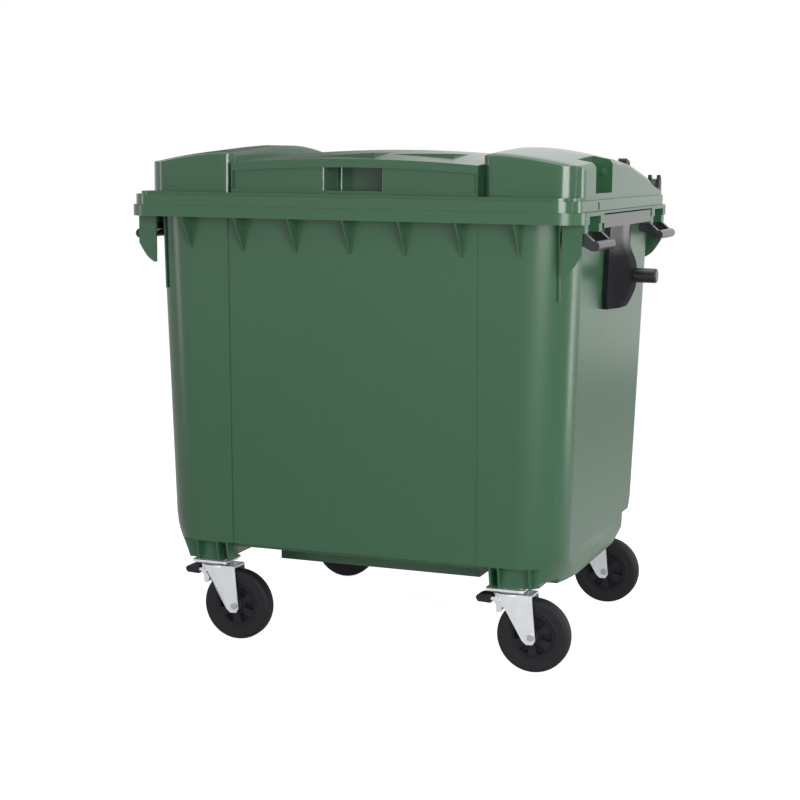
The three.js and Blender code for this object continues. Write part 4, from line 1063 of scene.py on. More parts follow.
@dataclass
class Tub:
    """The container's body: tapered tub, rim, gussets, ears and the hollow base."""

    half_x: float = 600.0
    half_y: float = 480.0
    foot_x: float = 575.0
    foot_y: float = 452.0
    seat: float = 228.0
    front_ledge: float = 284.0
    rear_ledge: float = 308.0
    ledge_depth: float = 12.0
    front_depth: float = 30.0
    wall: float = 7.0
    floor: float = 10.0
    floor_top: float = 312.0
    front_radius: float = 124.0
    rear_radius: float = 105.0
    panel_half: float = 355.0
    panel_depth: float = 3.0
    rim_x: float = 636.0
    rim_y: float = 538.0
    rim_radius: float = 70.0
    rim_top: float = 1217.0
    rim_bottom: float = 1187.0
    plate: float = 6.0
    apron_wall: float = 5.0
    castor_x: float = 431.5
    block_inner: float = 366.0
    channel_roof: float = 270.0
    chamfer: float = 26.0
    skirt_wall: float = 9.0
    overrun: float = 40.0
    edge: float = 2.0
    edge_angle: float = 34.0
    lap: float = 1.0
    castor_front_y: float = -398.0
    castor_rear_y: float = 404.0
    seam: float = 0.3
    cover: float = 3.0
    straight_from: float = 420.0
    skirt_inset: float = 10.0
    flare: tuple[float, float, float, float] = (14.0, 4.0, 1.0, 44.0)
    pocket_half_y: float = 245.0
    corner_y: float = 275.0
    corner_inset: float = 60.0
    step_y: float = -332.0
    step_rise: float = 14.0
    sump_half: tuple[float, float] = (300.0, 247.0)
    sump_drop: float = 25.0
    sump_wall: float = 10.0
    strip_window_half: float = 286.0
    window_clear: float = 9.0
    window_inset: float = 10.0
    grip_window_rise: float = 20.0
    grip_back: tuple[float, float] = (152.0, 102.0)
    grip_half: float = 78.0
    post_half: float = 17.0
    post_start: float = 309.0
    post_height: float = 52.0
    post_inset: float = 4.0
    gusset_gaps: int = 6
    gusset_reach: float = 465.0
    gusset_height: float = 90.0
    gusset_half: float = 2.5
    ear_reach: float = 26.0
    ear_straight: float = 75.0
    ear_toe: float = 52.0
    ear_toe_width: float = 45.0
    ear_thickness: float = 6.0
    toe_places: Sequence[float] = (0.0, 0.3, 0.62, 1.0)
    toe_shares: Sequence[float] = (0.0, 0.42, 0.77, 1.0)
    web_height: float = 200.0
    web_depths: tuple[float, float, float] = (62.0, 27.0, 33.0)
    web_x: tuple[float, float] = (558.0, 562.5)
    left_ribs: tuple[float, float, float] = (-37.1, 24.9, 55.1)
    right_ribs: tuple[float, float, float] = (-41.9, -18.0, 66.2)
    rib_root: float = 40.0
    rib_toe_share: float = 0.55
    rib_half: float = 3.0
    rib_lead: float = 1.0

    def wall_x(self, z: float) -> float:
        """How far a short wall stands out at a height."""
        share = (z - self.front_ledge) / (self.rim_bottom - self.front_ledge)
        return self.foot_x + (self.half_x - self.foot_x) * share

    def wall_y(self, z: float) -> float:
        """How far a long wall stands out at a height."""
        share = (z - self.front_ledge) / (self.rim_bottom - self.front_ledge)
        return self.foot_y + (self.half_y - self.foot_y) * share

    def build(self) -> bpy.types.Object:
        """Builds and dresses the body.

        Returns:
            The dressed body.
        """
        body = self._form()
        Solid.joined(body, [*self._panel_cuts(), *self._base_cuts()], Cut.TAKE)
        Solid.joined(body, [*self._rim(), self._sump(0.0), *self._trims()], Cut.ADD)
        Solid.joined(body, [self._hollow(), self._sump(self.sump_wall)], Cut.TAKE)
        Solid.softened(body, self.edge, self.edge_angle)
        return dress(body, GREEN, "container", ["container_body"])

    def _form(self) -> bpy.types.Object:
        """The tub's outer form, whose lower corners turn into chamfers."""
        heights = (228.0, 240.0, 265.0, 300.0, 345.0)
        tables = {
            "inset": (10.0, 7.0, 4.0, 1.5, 0.0),
            "front_x": (95.0, 100.0, 108.0, 120.0, 128.0),
            "front_y": (250.0, 230.0, 185.0, 142.0, 128.0),
            "rear_x": (95.0, 92.0, 94.0, 98.0, 100.0),
            "rear_y": (250.0, 230.0, 165.0, 115.0, 100.0),
            "round": (0.8, 0.82, 0.88, 0.95, 1.0),
        }
        rings: list[Ring] = []
        upper = Curve.steps(6, self.straight_from, self.rim_top - self.cover)
        for z in (*Curve.steps(16, heights[0], heights[-1]), *upper):
            at = {name: Curve.eased(heights, values, z) for name, values in tables.items()}
            outline = Curve.cornered(
                self.wall_x(z) - at["inset"],
                self.wall_y(z),
                (at["front_x"], at["front_y"]),
                (at["rear_x"], at["rear_y"]),
                at["round"],
            )
            rings.append([(x, y, z) for x, y in outline])
        return Solid.loft("container_body_shape", rings)

    def _hollow(self) -> bpy.types.Object:
        """The inside of the tub."""
        rings: list[Ring] = []
        for z in (self.floor_top, self.rim_top + self.overrun):
            front, rear = self.front_radius - self.wall, self.rear_radius - self.wall
            half_x, half_y = self.wall_x(z) - self.wall, self.wall_y(z) - self.wall
            outline = Curve.cornered(half_x, half_y, (front, front), (rear, rear))
            rings.append([(x, y, z) for x, y in outline])
        return Solid.loft("hollow", rings)

    def _panel_cuts(self) -> list[bpy.types.Object]:
        """The shallow recesses down the middle of the long walls."""
        low, high = self.seat - self.overrun, self.rim_bottom - self.seam
        cuts = []
        for side in (-1, 1):
            outline = [
                (side * (self.wall_y(low) - self.panel_depth), low),
                (side * (self.wall_y(low) + self.overrun), low),
                (side * (self.wall_y(high) + self.overrun), high),
                (side * (self.wall_y(high) - self.panel_depth), high),
            ]
            cuts.append(Solid.prism("panel", Axis.X, outline, -self.panel_half, self.panel_half))
        return cuts

    def _base_cuts(self) -> list[bpy.types.Object]:
        """What is open under the floor: channel, pockets, ledges and rear corners."""
        low, far = self.seat - self.overrun, self.rim_x + self.overrun
        inner, back, roof = self.block_inner, self.channel_roof, self.floor_top - self.floor
        slope = inner + self.chamfer
        ledge = self.wall_y(self.seat) - self.ledge_depth
        channel = [
            (-slope - back + self.seat, low),
            (slope + back - self.seat, low),
            (slope, self.seat),
            (inner, back),
            (-inner, back),
            (-slope, self.seat),
        ]
        front = self.wall_y(self.seat) - self.front_depth
        pan, depth = inner - self.skirt_wall, ledge - self.skirt_wall
        cuts = [
            Solid.prism("channel", Axis.Y, channel, -self.rim_y, self.rim_y),
            Solid.box("pan", (-pan, self.skirt_wall - front, low), (pan, depth, roof)),
            Solid.box("front_ledge", (-far, -far, low), (far, -front, self.front_ledge)),
            Solid.box("rear_ledge", (-far, ledge, low), (far, far, self.rear_ledge)),
        ]
        skirt = self.wall_x(self.seat) - self.skirt_inset - self.skirt_wall
        start, outer, half = slope + self.skirt_wall, self.foot_x - self.corner_inset, self.pocket_half_y
        reach, inset, lead, depth = self.flare
        for side in (-1, 1):
            flare = [
                (side * (slope + reach), -front - lead),
                (side * (inner - inset), -front - lead),
                (side * (inner - inset), depth - front),
            ]
            cuts.append(Solid.prism("flare", Axis.Z, flare, low, back))
            cuts.append(Solid.box("pocket", (side * start, -half, low), (side * skirt, half, roof)))
            corner = [
                (side * self.wall_x(self.rear_ledge), self.corner_y),
                (side * far, self.corner_y),
                (side * far, far),
                (side * outer, far),
                (side * outer, ledge),
            ]
            cuts.append(Solid.prism("corner", Axis.Z, corner, low, self.rear_ledge))
            top = self.seat + self.step_rise
            cuts.append(Solid.box("step", (side * outer, self.step_y, low), (side * far, -far, top)))
        return cuts

    def _sump(self, inset: float) -> bpy.types.Object:
        """The pan that hangs below the middle of the floor, or its inside."""
        high = self.floor_top + (self.overrun if inset else -self.seam)
        half_x, half_y = (half - inset for half in self.sump_half)
        low = self.seat - self.sump_drop + inset
        return Solid.box("sump", (-half_x, -half_y, low), (half_x, half_y, high))

    def _rim(self) -> list[bpy.types.Object]:
        """The rim's plate and its apron, which is open over the strips and the grips."""
        edge = Curve.rounded(self.rim_x, self.rim_y, self.rim_radius)
        gap = self.apron_wall
        inside = Curve.rounded(self.rim_x - gap, self.rim_y - gap, self.rim_radius - gap)
        apron = Solid.prism("apron", Axis.Z, edge, self.rim_bottom, self.rim_top - self.lap)
        under = self.rim_top - self.plate
        openings = [Solid.prism("inside", Axis.Z, inside, self.rim_bottom - self.lap, under)]
        for side in (-1, 1):
            half, high = self.strip_window_half, self.rim_bottom + self.grip_window_rise
            openings.append(self._window(side, -half, half, self.rim_top - self.plate))
            near, far = self._posts(side)
            for end in (-1, 1):
                start, stop = end * (near + self.post_half), end * (far - self.post_half)
                openings.append(self._window(side, start, stop, high))
        Solid.joined(apron, openings, Cut.TAKE)
        return [apron, Solid.prism("plate", Axis.Z, edge, self.rim_top - self.plate, self.rim_top)]

    def _window(self, side: int, start: float, end: float, high: float) -> bpy.types.Object:
        """An opening in the apron of a short side."""
        inner = self.rim_x - self.apron_wall - self.window_inset
        low, outer = self.rim_bottom - self.window_clear, self.rim_x + self.window_clear
        return Solid.box("window", (side * inner, start, low), (side * outer, end, high))

    def _posts(self, side: int) -> tuple[float, float]:
        """Where the two posts of a grip stand along Y."""
        middle = self.half_y - self.grip_back[side > 0]
        return max(middle - self.grip_half, self.post_start), middle + self.grip_half

    def _trims(self) -> list[bpy.types.Object]:
        """Gussets, ears, corner webs, grip posts and the ribs of the castor blocks."""
        made: list[bpy.types.Object] = []
        low, high = self.rim_top - self.post_height + self.seam, self.rim_top - self.cover
        reach, half = self.gusset_reach, self.post_half
        for side in (-1, 1):
            made += [self._gusset(x, side) for x in Curve.steps(self.gusset_gaps, -reach, reach)]
            inner, outer = side * (self.wall_x(low) - self.wall / 2), side * (self.rim_x - self.post_inset)
            for end in (-1, 1):
                made += [self._ear(side, end), self._web(side, end)]
                for place in self._posts(side):
                    start, stop = end * (place - half), end * (place + half)
                    made.append(Solid.box("post", (inner, start, low), (outer, stop, high)))
            ribs = self.left_ribs if side < 0 else self.right_ribs
            made += [self._block_rib(side * self.castor_x + offset) for offset in ribs]
        return made

    def _gusset(self, x: float, side: int) -> bpy.types.Object:
        """One thin gusset under a long rim."""
        low, high = self.rim_bottom - self.gusset_height, self.rim_top - self.cover
        out, foot = self.rim_y - self.apron_wall / 2, self.wall_y(low)
        root, half = foot - self.wall / 2, self.gusset_half
        outline = [
            (side * root, high),
            (side * out, high),
            (side * out, self.rim_bottom),
            (side * foot, low),
            (side * root, low),
        ]
        return Solid.prism("gusset", Axis.X, outline, x - half, x + half)

    def _ear(self, side: int, end: int) -> bpy.types.Object:
        """The flat ear at a corner, whose toe curves inwards."""
        root, out = self.half_x - self.ear_reach, self.half_x + self.ear_reach
        start, toe = self.rim_bottom - self.ear_straight, []
        for across in Curve.steps(10):
            fall = self.ear_toe * Curve.eased(self.toe_places, self.toe_shares, across)
            toe.append((side * (out - across * self.ear_toe_width), start - fall))
        high, low = self.rim_top - self.cover, self.rim_bottom - self.ear_straight - self.ear_toe
        outline = [(side * root, high), (side * out, high), *toe, (side * root, low)]
        face = self.wall_y(low) - self.wall / 4
        return Solid.prism("ear", Axis.Y, outline, end * face, end * (face - self.ear_thickness))

    def _web(self, side: int, end: int) -> bpy.types.Object:
        """The upright web beside an ear."""
        low, high = self.rim_bottom - self.web_height, self.rim_top - self.cover
        root, front, foot = self.web_depths
        outline = [
            (end * (self.wall_y(low) - root), low),
            (end * (self.wall_y(low) - root), high),
            (end * (self.wall_y(self.rim_bottom) - front), high),
            (end * (self.wall_y(low) - foot), low),
        ]
        near, far = self.web_x
        return Solid.prism("web", Axis.X, outline, side * near, side * far)

    def _block_rib(self, x: float) -> bpy.types.Object:
        """One rib on the face of a front castor block."""
        face = self.wall_y(self.seat) - self.front_depth
        outline = [
            (self.rib_root - face, self.seat),
            (-face - self.front_depth * self.rib_toe_share, self.seat),
            (self.rib_lead - self.wall_y(self.front_ledge), self.front_ledge),
            (self.rib_root - face, self.front_ledge),
        ]
        return Solid.prism("block_rib", Axis.X, outline, x - self.rib_half, x + self.rib_half)


@dataclass
class Lid:
    """The hinged lid: skirt, step, two domed hoods and the arched panel between them."""

    half_x: float = 626.0
    half_y: float = 538.0
    radius: float = 66.0
    base: float = 1217.3
    rise: float = 163.7
    skirt_top: float = 1245.3
    step_top: float = 1253.3
    step_inset: float = 14.0
    wall: float = 6.0
    floor: float = 1262.0
    hood_inner: float = 353.0
    hood_outer: float = 613.0
    hood_front: float = -457.0
    lip_front: float = -470.0
    back: float = 518.0
    outer_radius: float = 66.0
    inner_radius: float = 32.0
    groove: float = 5.0
    recess_half: float = 344.5
    recess_depth: float = 9.0
    folds: Sequence[tuple[float, float, float]] = ((-130.0, 34.0, -390.0), (56.0, 232.0, -320.0))
    fold_rise: float = 9.0
    fold_depth: float = 130.0
    hold_half: float = 79.0
    hold_depth: float = 117.0
    bay_middle: float = -205.0
    bay_half: float = 89.0
    bay_inner: float = 561.0
    slot_y: float = -309.0
    pin_y: float = 545.0
    pin_z: float = 1262.0
    pin_radius: float = 7.3
    lug_middle: float = 586.0
    lug_radius: float = 12.0
    overrun: float = 40.0
    edge: float = 1.8
    edge_angle: float = 34.0
    panel_lap: float = 1.0
    inner_corner: float = 0.1
    hinge_bay_half: float = 23.0
    lug_back: float = 47.0
    lug_half: float = 7.0
    lug_rise: float = 30.0
    bore_half: float = 30.0
    slot_half: float = 7.0
    slot_foot: float = 4.0
    slot_head: float = 5.0
    crown_limit: float = 0.996
    recess_ends: float = 48.0
    recess_arch: float = 13.0
    hold_corner: float = 9.0
    fold_roots: tuple[float, float] = (4.0, 9.0)
    bay_clear: float = 9.0
    catch_x: tuple[float, float] = (13.0, 31.0)
    catch_y: tuple[float, float] = (-24.0, 2.0)
    catch_z: tuple[float, float] = (49.0, 65.0)
    hood_along: Sequence[float] = (
        0.0, 0.005, 0.017, 0.161, 0.35, 0.489, 0.602, 0.695, 0.806, 0.908, 0.982, 1.0,
    )
    hood_high: Sequence[float] = (
        0.786, 0.847, 0.878, 0.939, 1.0, 1.0, 0.951, 0.878, 0.745, 0.545, 0.346, 0.261,
    )
    hood_low: Sequence[float] = (
        0.615, 0.676, 0.707, 0.768, 0.829, 0.785, 0.725, 0.64, 0.53, 0.39, 0.285, 0.243,
    )
    crown: Sequence[float] = (0.0, 0.02, 0.07, 0.2, 0.45, 0.7, 0.9, 0.97, 1.0)
    fall: Sequence[float] = (0.45, 0.12, 0.01, 0.0, 0.24, 0.6, 0.97, 1.12, 1.5)
    panel_along: Sequence[float] = (0.0, 0.142, 0.358, 0.536, 0.699, 0.809, 0.909, 0.982, 1.0)
    panel_middle: Sequence[float] = (0.78, 0.86, 0.933, 0.927, 0.811, 0.676, 0.493, 0.322, 0.249)
    panel_edge: Sequence[float] = (0.695, 0.762, 0.823, 0.811, 0.701, 0.579, 0.42, 0.273, 0.236)

    def build(self) -> bpy.types.Object:
        """Builds and dresses the lid.

        Returns:
            The dressed lid.
        """
        lid = self._form(0.0)
        Solid.joined(lid, [self._form(self.wall)], Cut.TAKE)
        high = self.base + self.rise + self.overrun
        middle, half = self.lug_middle, self.hinge_bay_half
        for side in (-1, 1):
            low = (side * (middle - half), self.pin_y - self.lug_back, self.base - self.overrun)
            bay = Solid.box("hinge_bay", low, (side * (middle + half), self.half_y + self.overrun, high))
            Solid.joined(lid, [bay], Cut.TAKE)
            Solid.joined(lid, [self._lug(side)], Cut.ADD)
            start, end = ((side * middle + way * self.bore_half, self.pin_y, self.pin_z) for way in (-1, 1))
            bore = Solid.rod("bore", Axis.X, self.pin_radius, start, end)
            near, far = (side * (self.half_x + away) for away in (-self.wall / 2, self.wall))
            foot = (near, self.slot_y - self.slot_half, self.base + self.slot_foot)
            head = (far, self.slot_y + self.slot_half, self.skirt_top - self.slot_head)
            Solid.joined(lid, [bore, Solid.box("slot", foot, head)], Cut.TAKE)
        Solid.joined(lid, [*self._details(), *self._folds()], Cut.ADD)
        Solid.softened(lid, self.edge, self.edge_angle)
        return dress(lid, LID_GREEN, "lid_assembly", ["lid"])

    def _form(self, inset: float) -> bpy.types.Object:
        """The lid's form with every face moved inwards by an inset."""
        foot = self.base - self.overrun if inset else self.base
        edge = Curve.rounded(self.half_x - inset, self.half_y - inset, self.radius - inset)
        step = self.step_inset + inset
        step_edge = Curve.rounded(self.half_x - step, self.half_y - step, self.radius - step)
        form = Solid.prism("lid_shape", Axis.Z, edge, foot, self.skirt_top - inset)
        raised = [
            Solid.prism("step", Axis.Z, step_edge, foot, self.step_top - inset),
            self._panel(inset),
            *(self._hood(side, inset) for side in (-1, 1)),
        ]
        Solid.joined(form, raised, Cut.ADD)
        cuts = [*self._recess(inset), *(self._bay(side, inset) for side in (-1, 1))]
        return Solid.joined(form, cuts, Cut.TAKE)

    def _at(self, along: float, front: float, inset: float) -> float:
        """The place along Y of a share of the way to the back, with both ends moved inwards."""
        y = front + (self.back - front) * along
        return min(max(y, front + inset), self.back - inset)

    def _hood(self, side: int, inset: float) -> bpy.types.Object:
        """One hood, domed across and along and rounded at its front corners."""
        inner, outer = self.hood_inner + inset, self.hood_outer - inset
        rings: list[Ring] = []
        alongs = sorted({*self.hood_along, *Curve.steps(34, 0.02, 0.98)})
        for along in alongs:
            share = min(Curve.eased(self.hood_along, self.hood_high, along), self.crown_limit)
            high = self.base + self.rise * share - inset
            low = self.base + self.rise * Curve.eased(self.hood_along, self.hood_low, along) - inset
            y = self._at(along, self.hood_front, inset)
            ring: Ring = [(side * inner, y, self.base)]
            for across in sorted({*self.crown, *Curve.steps(20, 0.0, 1.0)}):
                z = high - (high - low) * Curve.eased(self.crown, self.fall, across)
                ring.append((side * (inner + across * (outer - inner)), y, max(z, self.base + self.wall)))
            ring.append((side * outer, y, self.base))
            if not rings or y > rings[-1][0][1] + LEAST_STEP:
                rings.append(ring)
        hood = Solid.loft("hood", rings)
        front = self.hood_front + inset
        plan: Outline = [(side * inner, self.half_y + self.overrun)]
        for x, radius, turn in ((inner, self.inner_radius, 1), (outer, self.outer_radius, -1)):
            reach = max(radius - inset, self.wall / 2)
            corner = [
                (side * (x + turn * reach * (1 - math.cos(a))), front + reach * (1 - math.sin(a)))
                for a in Curve.steps(10, 0.0, math.pi / 2)
            ]
            plan += corner if turn > 0 else corner[::-1]
        plan.append((side * outer, self.half_y + self.overrun))
        high = self.base + self.rise + self.overrun
        keep = Solid.prism("plan", Axis.Z, plan, self.base - self.overrun, high)
        return Solid.joined(hood, [keep], Cut.KEEP)

    def _panel(self, inset: float) -> bpy.types.Object:
        """The arched panel between the hoods."""
        half = self.hood_inner + self.panel_lap + (self.wall if inset else 0.0)
        rings: list[Ring] = []
        for along in sorted({*self.panel_along, *Curve.steps(30)}):
            middle = self.base + self.rise * Curve.eased(self.panel_along, self.panel_middle, along) - inset
            edge = self.base + self.rise * Curve.eased(self.panel_along, self.panel_edge, along) - inset
            y = self._at(along, self.lip_front, inset)
            shares = Curve.steps(24, 1.0, -1.0)
            top = [(half * share, y, middle - (middle - edge) * share**2) for share in shares]
            if not rings or y > rings[-1][0][1] + LEAST_STEP:
                rings.append([(-half, y, self.base), (half, y, self.base), *top])
        panel = Solid.loft("centre_panel", rings)
        near, far = self.hood_inner - self.groove - inset, self.half_x
        start, end = self.lip_front - self.overrun, self.hood_front + self.inner_radius + inset
        high = self.base + self.rise + self.overrun
        sides = [Solid.box("groove", (s * near, start, self.base), (s * far, end, high)) for s in (-1, 1)]
        return Solid.joined(panel, sides, Cut.TAKE)

    def _panel_top(self, x: float, y: float) -> float:
        """How high the panel's top is above the ground at a place."""
        along = (y - self.lip_front) / (self.back - self.lip_front)
        middle = Curve.eased(self.panel_along, self.panel_middle, along)
        edge = Curve.eased(self.panel_along, self.panel_edge, along)
        share = x / (self.hood_inner + self.panel_lap)
        return self.base + self.rise * (middle - (middle - edge) * share**2)

    def _folds(self) -> list[bpy.types.Object]:
        """The low wedges pressed into the panel's top, each from its thin to its thick end."""
        made = []
        for thin, thick, y in self.folds:
            rings: list[Ring] = []
            for share in Curve.steps(6):
                x = thin + (thick - thin) * share
                near, far = self._panel_top(x, y), self._panel_top(x, y + self.fold_depth)
                top = near + self.fold_rise * share
                back, (front_root, back_root) = y + self.fold_depth, self.fold_roots
                front_edge = [(x, y, near - front_root), (x, y, top)]
                rings.append([*front_edge, (x, back, far), (x, back, far - back_root)])
            made.append(Solid.loft("fold", rings))
        return made

    def _recess(self, inset: float) -> list[bpy.types.Object]:
        """The shallow recess under the front lip and the deep hand hold in its middle."""
        half, ends, arch = self.recess_half + inset, self.floor + self.recess_ends + inset, self.recess_arch
        roof = [(half * share, ends + arch * (1.0 - share**2)) for share in Curve.steps(24, 1.0, -1.0)]
        floor, front = self.floor - inset, self.lip_front - self.overrun
        outline = [(-half, floor), (half, floor), *roof]
        made = [Solid.prism("recess", Axis.Y, outline, front, self.lip_front + self.recess_depth + inset)]
        hold = Solid.prism("hold", Axis.Y, outline, front, self.lip_front + self.hold_depth + inset)
        reach, depth = self.hold_half + inset, self.hold_depth + inset
        corner = self.inner_corner if inset else self.hold_corner
        back = self.lip_front + depth
        wall = self.lip_front + self.recess_depth
        plan: Outline = [(-reach - corner, front), (-reach - corner, wall)]
        plan += Curve.arc(-reach - corner, wall + corner, corner, -math.pi / 2, 0.0)[1:]
        plan += Curve.arc(-reach + corner, back - corner, corner, math.pi, math.pi / 2)
        plan += [(-x, y) for x, y in reversed(plan)]
        high = self.base + self.rise
        narrow = Solid.prism("hold_plan", Axis.Z, plan, floor, high)
        return [*made, Solid.joined(hold, [narrow], Cut.KEEP)]

    def _bay(self, side: int, inset: float) -> bpy.types.Object:
        """The bay in the flank of a hood."""
        low = (side * (self.bay_inner - inset), self.bay_middle - self.bay_half - inset, self.floor - inset)
        back, high = self.bay_middle + self.bay_half + inset, self.base + self.rise + self.overrun
        return Solid.box("bay", low, (side * (self.half_x + self.bay_clear), back, high))

    def _lug(self, side: int) -> bpy.types.Object:
        """The lug that carries the lid on one hinge pin."""
        y, z, reach = self.pin_y, self.pin_z, self.lug_radius
        root = y - self.lug_back - self.wall
        outline = [
            (root, self.base + self.wall),
            *Curve.arc(y, z, reach, -math.pi / 2, 0.0),
            (y + reach / 2, z + self.lug_rise),
            (y - 1.5 * reach, z + self.lug_rise),
            (y - 2.0 * reach, z + reach),
            (root, z + reach / 2),
        ]
        x = side * self.lug_middle
        return Solid.prism("lug", Axis.X, outline, x - self.lug_half, x + self.lug_half)

    def _details(self) -> list[bpy.types.Object]:
        """The small catches that stand in the bays of the flanks."""
        near, far = (self.bay_middle + self.bay_half + away for away in self.catch_y)
        inner, outer = (self.bay_inner + away for away in self.catch_x)
        low, high = (self.floor + up for up in self.catch_z)
        return [Solid.box("catch", (s * inner, near, low), (s * outer, far, high)) for s in (-1, 1)]


# Studio


@dataclass(frozen=True)
class SoftLight:
    """An area lamp that faces a point."""

    name: str
    place: Point
    target: Point
    width: float
    height: float
    power: float

    def build(self) -> bpy.types.Object:
        """Adds the lamp.

        Returns:
            The lamp's object.
        """
        lamp = bpy.data.lights.new(self.name, "AREA")
        lamp.shape = "RECTANGLE"
        lamp.size, lamp.size_y = self.width, self.height
        lamp.energy = self.power
        made = bpy.data.objects.new(self.name, lamp)
        made.location = self.place
        aim = Vector(self.target) - Vector(self.place)
        made.rotation_euler = aim.to_track_quat("-Z", "Y").to_euler()
        bpy.context.scene.collection.objects.link(made)
        return made


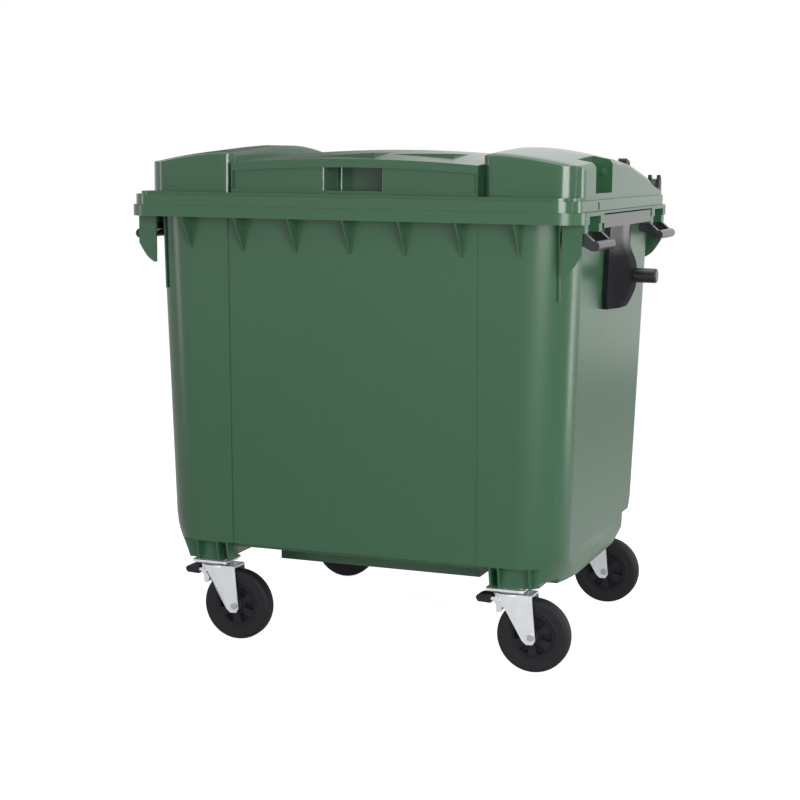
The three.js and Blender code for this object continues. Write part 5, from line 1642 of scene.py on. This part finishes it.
@dataclass
class Studio:
    """The pale floor and backdrop, the room around them, the lamps and the camera."""

    floor_half: float = 14.0
    backdrop_y: float = 6.0
    backdrop_x: tuple[float, float] = (-4.8, 11.0)
    backdrop_height: float = 6.2
    backdrop_fade_x: tuple[float, float] = (-2.9, -1.5)
    backdrop_mirrored: tuple[float, float] = (0.2, 1.0)
    world_fill: float = 0.52
    world_seen: float = 1.0
    world_mirrored: float = 1.05
    floor_shade: float = 0.5
    floor_seen: float = 0.92
    floor_fade_y: tuple[float, float] = (-3.5, -7.0)
    floor_mirrored: tuple[float, float] = (0.3, 0.9)
    camera_place: Point = (1.7299, -4.7515, 1.3563)
    camera_right: Point = (0.9371, 0.3489, 0.0094)
    camera_up: Point = (-0.0571, 0.1267, 0.9903)
    camera_ahead: Point = (-0.3443, 0.9285, -0.1387)
    lens: float = 78.72
    sensor: float = 36.0
    far_limit: float = 100.0
    lights: Sequence[SoftLight] = (
        SoftLight("key_light", (3.5, -4.7, 1.9), (0.0, 0.0, 0.8), 2.8, 2.2, 215.0),
        SoftLight("side_softbox", (2.9, 1.3, 1.1), (0.6, 0.0, 0.8), 1.2, 2.2, 17.0),
        SoftLight("side_tube", (2.75, 1.0, 1.3), (0.5, -0.4, 1.2), 0.16, 2.2, 10.0),
        SoftLight("second_tube", (3.5, -0.8, 2.0), (0.5, -0.4, 1.3), 0.12, 2.2, 4.0),
        SoftLight("left_strip", (-4.4, -2.0, 1.2), (-0.5, -0.3, 0.9), 0.5, 2.2, 16.0),
        SoftLight("top_light", (0.2, 0.2, 4.2), (0.0, 0.0, 0.6), 3.0, 2.4, 35.0),
    )

    def build(self) -> None:
        """Adds floor, backdrop, world, lamps and camera."""
        self._floor()
        self._backdrop()
        self._world()
        for light in self.lights:
            light.build()
        self._camera()

    @staticmethod
    def _faded(
        tree: bpy.types.NodeTree, axis: str, span: tuple[float, float], values: tuple[float, float]
    ) -> bpy.types.NodeSocket:
        """A socket whose value changes along one axis of the stage.

        Args:
            tree: The node tree it is added to.
            axis: The letter of the axis.
            span: Where the change starts and ends, in metres.
            values: The value before and after the change.

        Returns:
            The socket.
        """
        place = tree.nodes.new("ShaderNodeTexCoord")
        split = tree.nodes.new("ShaderNodeSeparateXYZ")
        fade = tree.nodes.new("ShaderNodeMapRange")
        tree.links.new(place.outputs["Object"], split.inputs["Vector"])
        tree.links.new(split.outputs[axis], fade.inputs["Value"])
        fade.inputs["From Min"].default_value, fade.inputs["From Max"].default_value = span
        fade.inputs["To Min"].default_value, fade.inputs["To Max"].default_value = values
        return fade.outputs["Result"]

    def _floor(self) -> None:
        """Adds the floor: white to the camera, shadowed, and mirrored brighter far in front."""
        reach = self.floor_half
        corners = [(-reach, -reach, 0.0), (reach, -reach, 0.0), (reach, reach, 0.0), (-reach, reach, 0.0)]
        tree = self._stage_piece("studio_floor", corners, self.floor_shade)
        path = tree.nodes.new("ShaderNodeLightPath")
        fade = self._faded(tree, "Y", self.floor_fade_y, self.floor_mirrored)
        seen = math_node(tree, "MULTIPLY", path.outputs["Is Camera Ray"], self.floor_seen)
        mirrored = math_node(tree, "MULTIPLY", path.outputs["Is Glossy Ray"], fade)
        shader = tree.nodes["Principled BSDF"]
        tree.links.new(math_node(tree, "ADD", seen, mirrored), shader.inputs["Emission Strength"])

    def _backdrop(self) -> None:
        """Adds the white backdrop, which the container mirrors darker on its left."""
        (left, right), y, high = self.backdrop_x, self.backdrop_y, self.backdrop_height
        corners = [(left, y, 0.0), (right, y, 0.0), (right, y, high), (left, y, high)]
        tree = self._stage_piece("studio_backdrop", corners, 0.0)
        path = tree.nodes.new("ShaderNodeLightPath")
        seen = math_node(tree, "MULTIPLY", path.outputs["Is Camera Ray"], self.world_seen)
        fade = self._faded(tree, "X", self.backdrop_fade_x, self.backdrop_mirrored)
        mirrored = math_node(tree, "MULTIPLY", path.outputs["Is Glossy Ray"], fade)
        shader = tree.nodes["Principled BSDF"]
        tree.links.new(math_node(tree, "ADD", seen, mirrored), shader.inputs["Emission Strength"])

    @staticmethod
    def _stage_piece(name: str, corners: list[Point], shade: float) -> bpy.types.NodeTree:
        """Adds one flat piece of the studio.

        Args:
            name: The name of the piece and of its material.
            corners: Its corners in metres.
            shade: How much of the lamps' light it throws back.

        Returns:
            The node tree of its material.
        """
        mesh = bpy.data.meshes.new(name)
        mesh.from_pydata(corners, [], [[0, 1, 2, 3]])
        piece = bpy.data.objects.new(name, mesh)
        bpy.context.scene.collection.objects.link(piece)
        material = bpy.data.materials.new(name)
        material.use_nodes = True
        shader = material.node_tree.nodes["Principled BSDF"]
        shader.inputs["Base Color"].default_value = (shade, shade, shade, 1.0)
        shader.inputs["Roughness"].default_value = 0.9
        shader.inputs["Specular IOR Level"].default_value = 0.0
        shader.inputs["Emission Color"].default_value = (1.0, 1.0, 1.0, 1.0)
        mesh.materials.append(material)
        return material.node_tree

    def _world(self) -> None:
        """Gives the world its fill light, its white look and the bright room that surfaces mirror."""
        world = bpy.data.worlds.new("studio")
        bpy.context.scene.world = world
        world.use_nodes = True
        tree = world.node_tree
        path = tree.nodes.new("ShaderNodeLightPath")
        back = tree.nodes["Background"]
        back.inputs["Color"].default_value = (1.0, 1.0, 1.0, 1.0)
        seen = math_node(tree, "MULTIPLY", path.outputs["Is Camera Ray"], self.world_seen)
        mirrored = math_node(tree, "MULTIPLY", path.outputs["Is Glossy Ray"], self.world_mirrored)
        lit = math_node(tree, "MULTIPLY", path.outputs["Is Diffuse Ray"], self.world_fill)
        both = math_node(tree, "ADD", seen, mirrored)
        tree.links.new(math_node(tree, "ADD", both, lit), back.inputs["Strength"])

    def _camera(self) -> None:
        """Adds the camera where the photograph was taken from."""
        data = bpy.data.cameras.new("photo_camera")
        data.lens = self.lens
        data.sensor_width = self.sensor
        data.sensor_fit = "HORIZONTAL"
        data.clip_end = self.far_limit
        camera = bpy.data.objects.new("photo_camera", data)
        turn = Matrix((self.camera_right, self.camera_up, tuple(-v for v in self.camera_ahead))).transposed()
        camera.matrix_world = Matrix.Translation(self.camera_place) @ turn.to_4x4()
        bpy.context.scene.collection.objects.link(camera)
        bpy.context.scene.camera = camera


def main() -> None:
    """Builds every sub-assembly in order and dresses the scene."""
    logging.basicConfig(level=logging.INFO, format="%(message)s")
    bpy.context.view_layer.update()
    tub = Tub()
    tub.build()
    Lid().build()
    Trunnions(tub).build()
    Hinges().build()
    for seat, x, y, braked in (
        ("front_left", -tub.castor_x, tub.castor_front_y, True),
        ("front_right", tub.castor_x, tub.castor_front_y, True),
        ("rear_left", -tub.castor_x, tub.castor_rear_y, False),
        ("rear_right", tub.castor_x, tub.castor_rear_y, False),
    ):
        Castor(seat, x, y, braked).build()
    Studio().build()
    bpy.context.scene.view_settings.view_transform = "Standard"


if __name__ == "__main__":
    main()
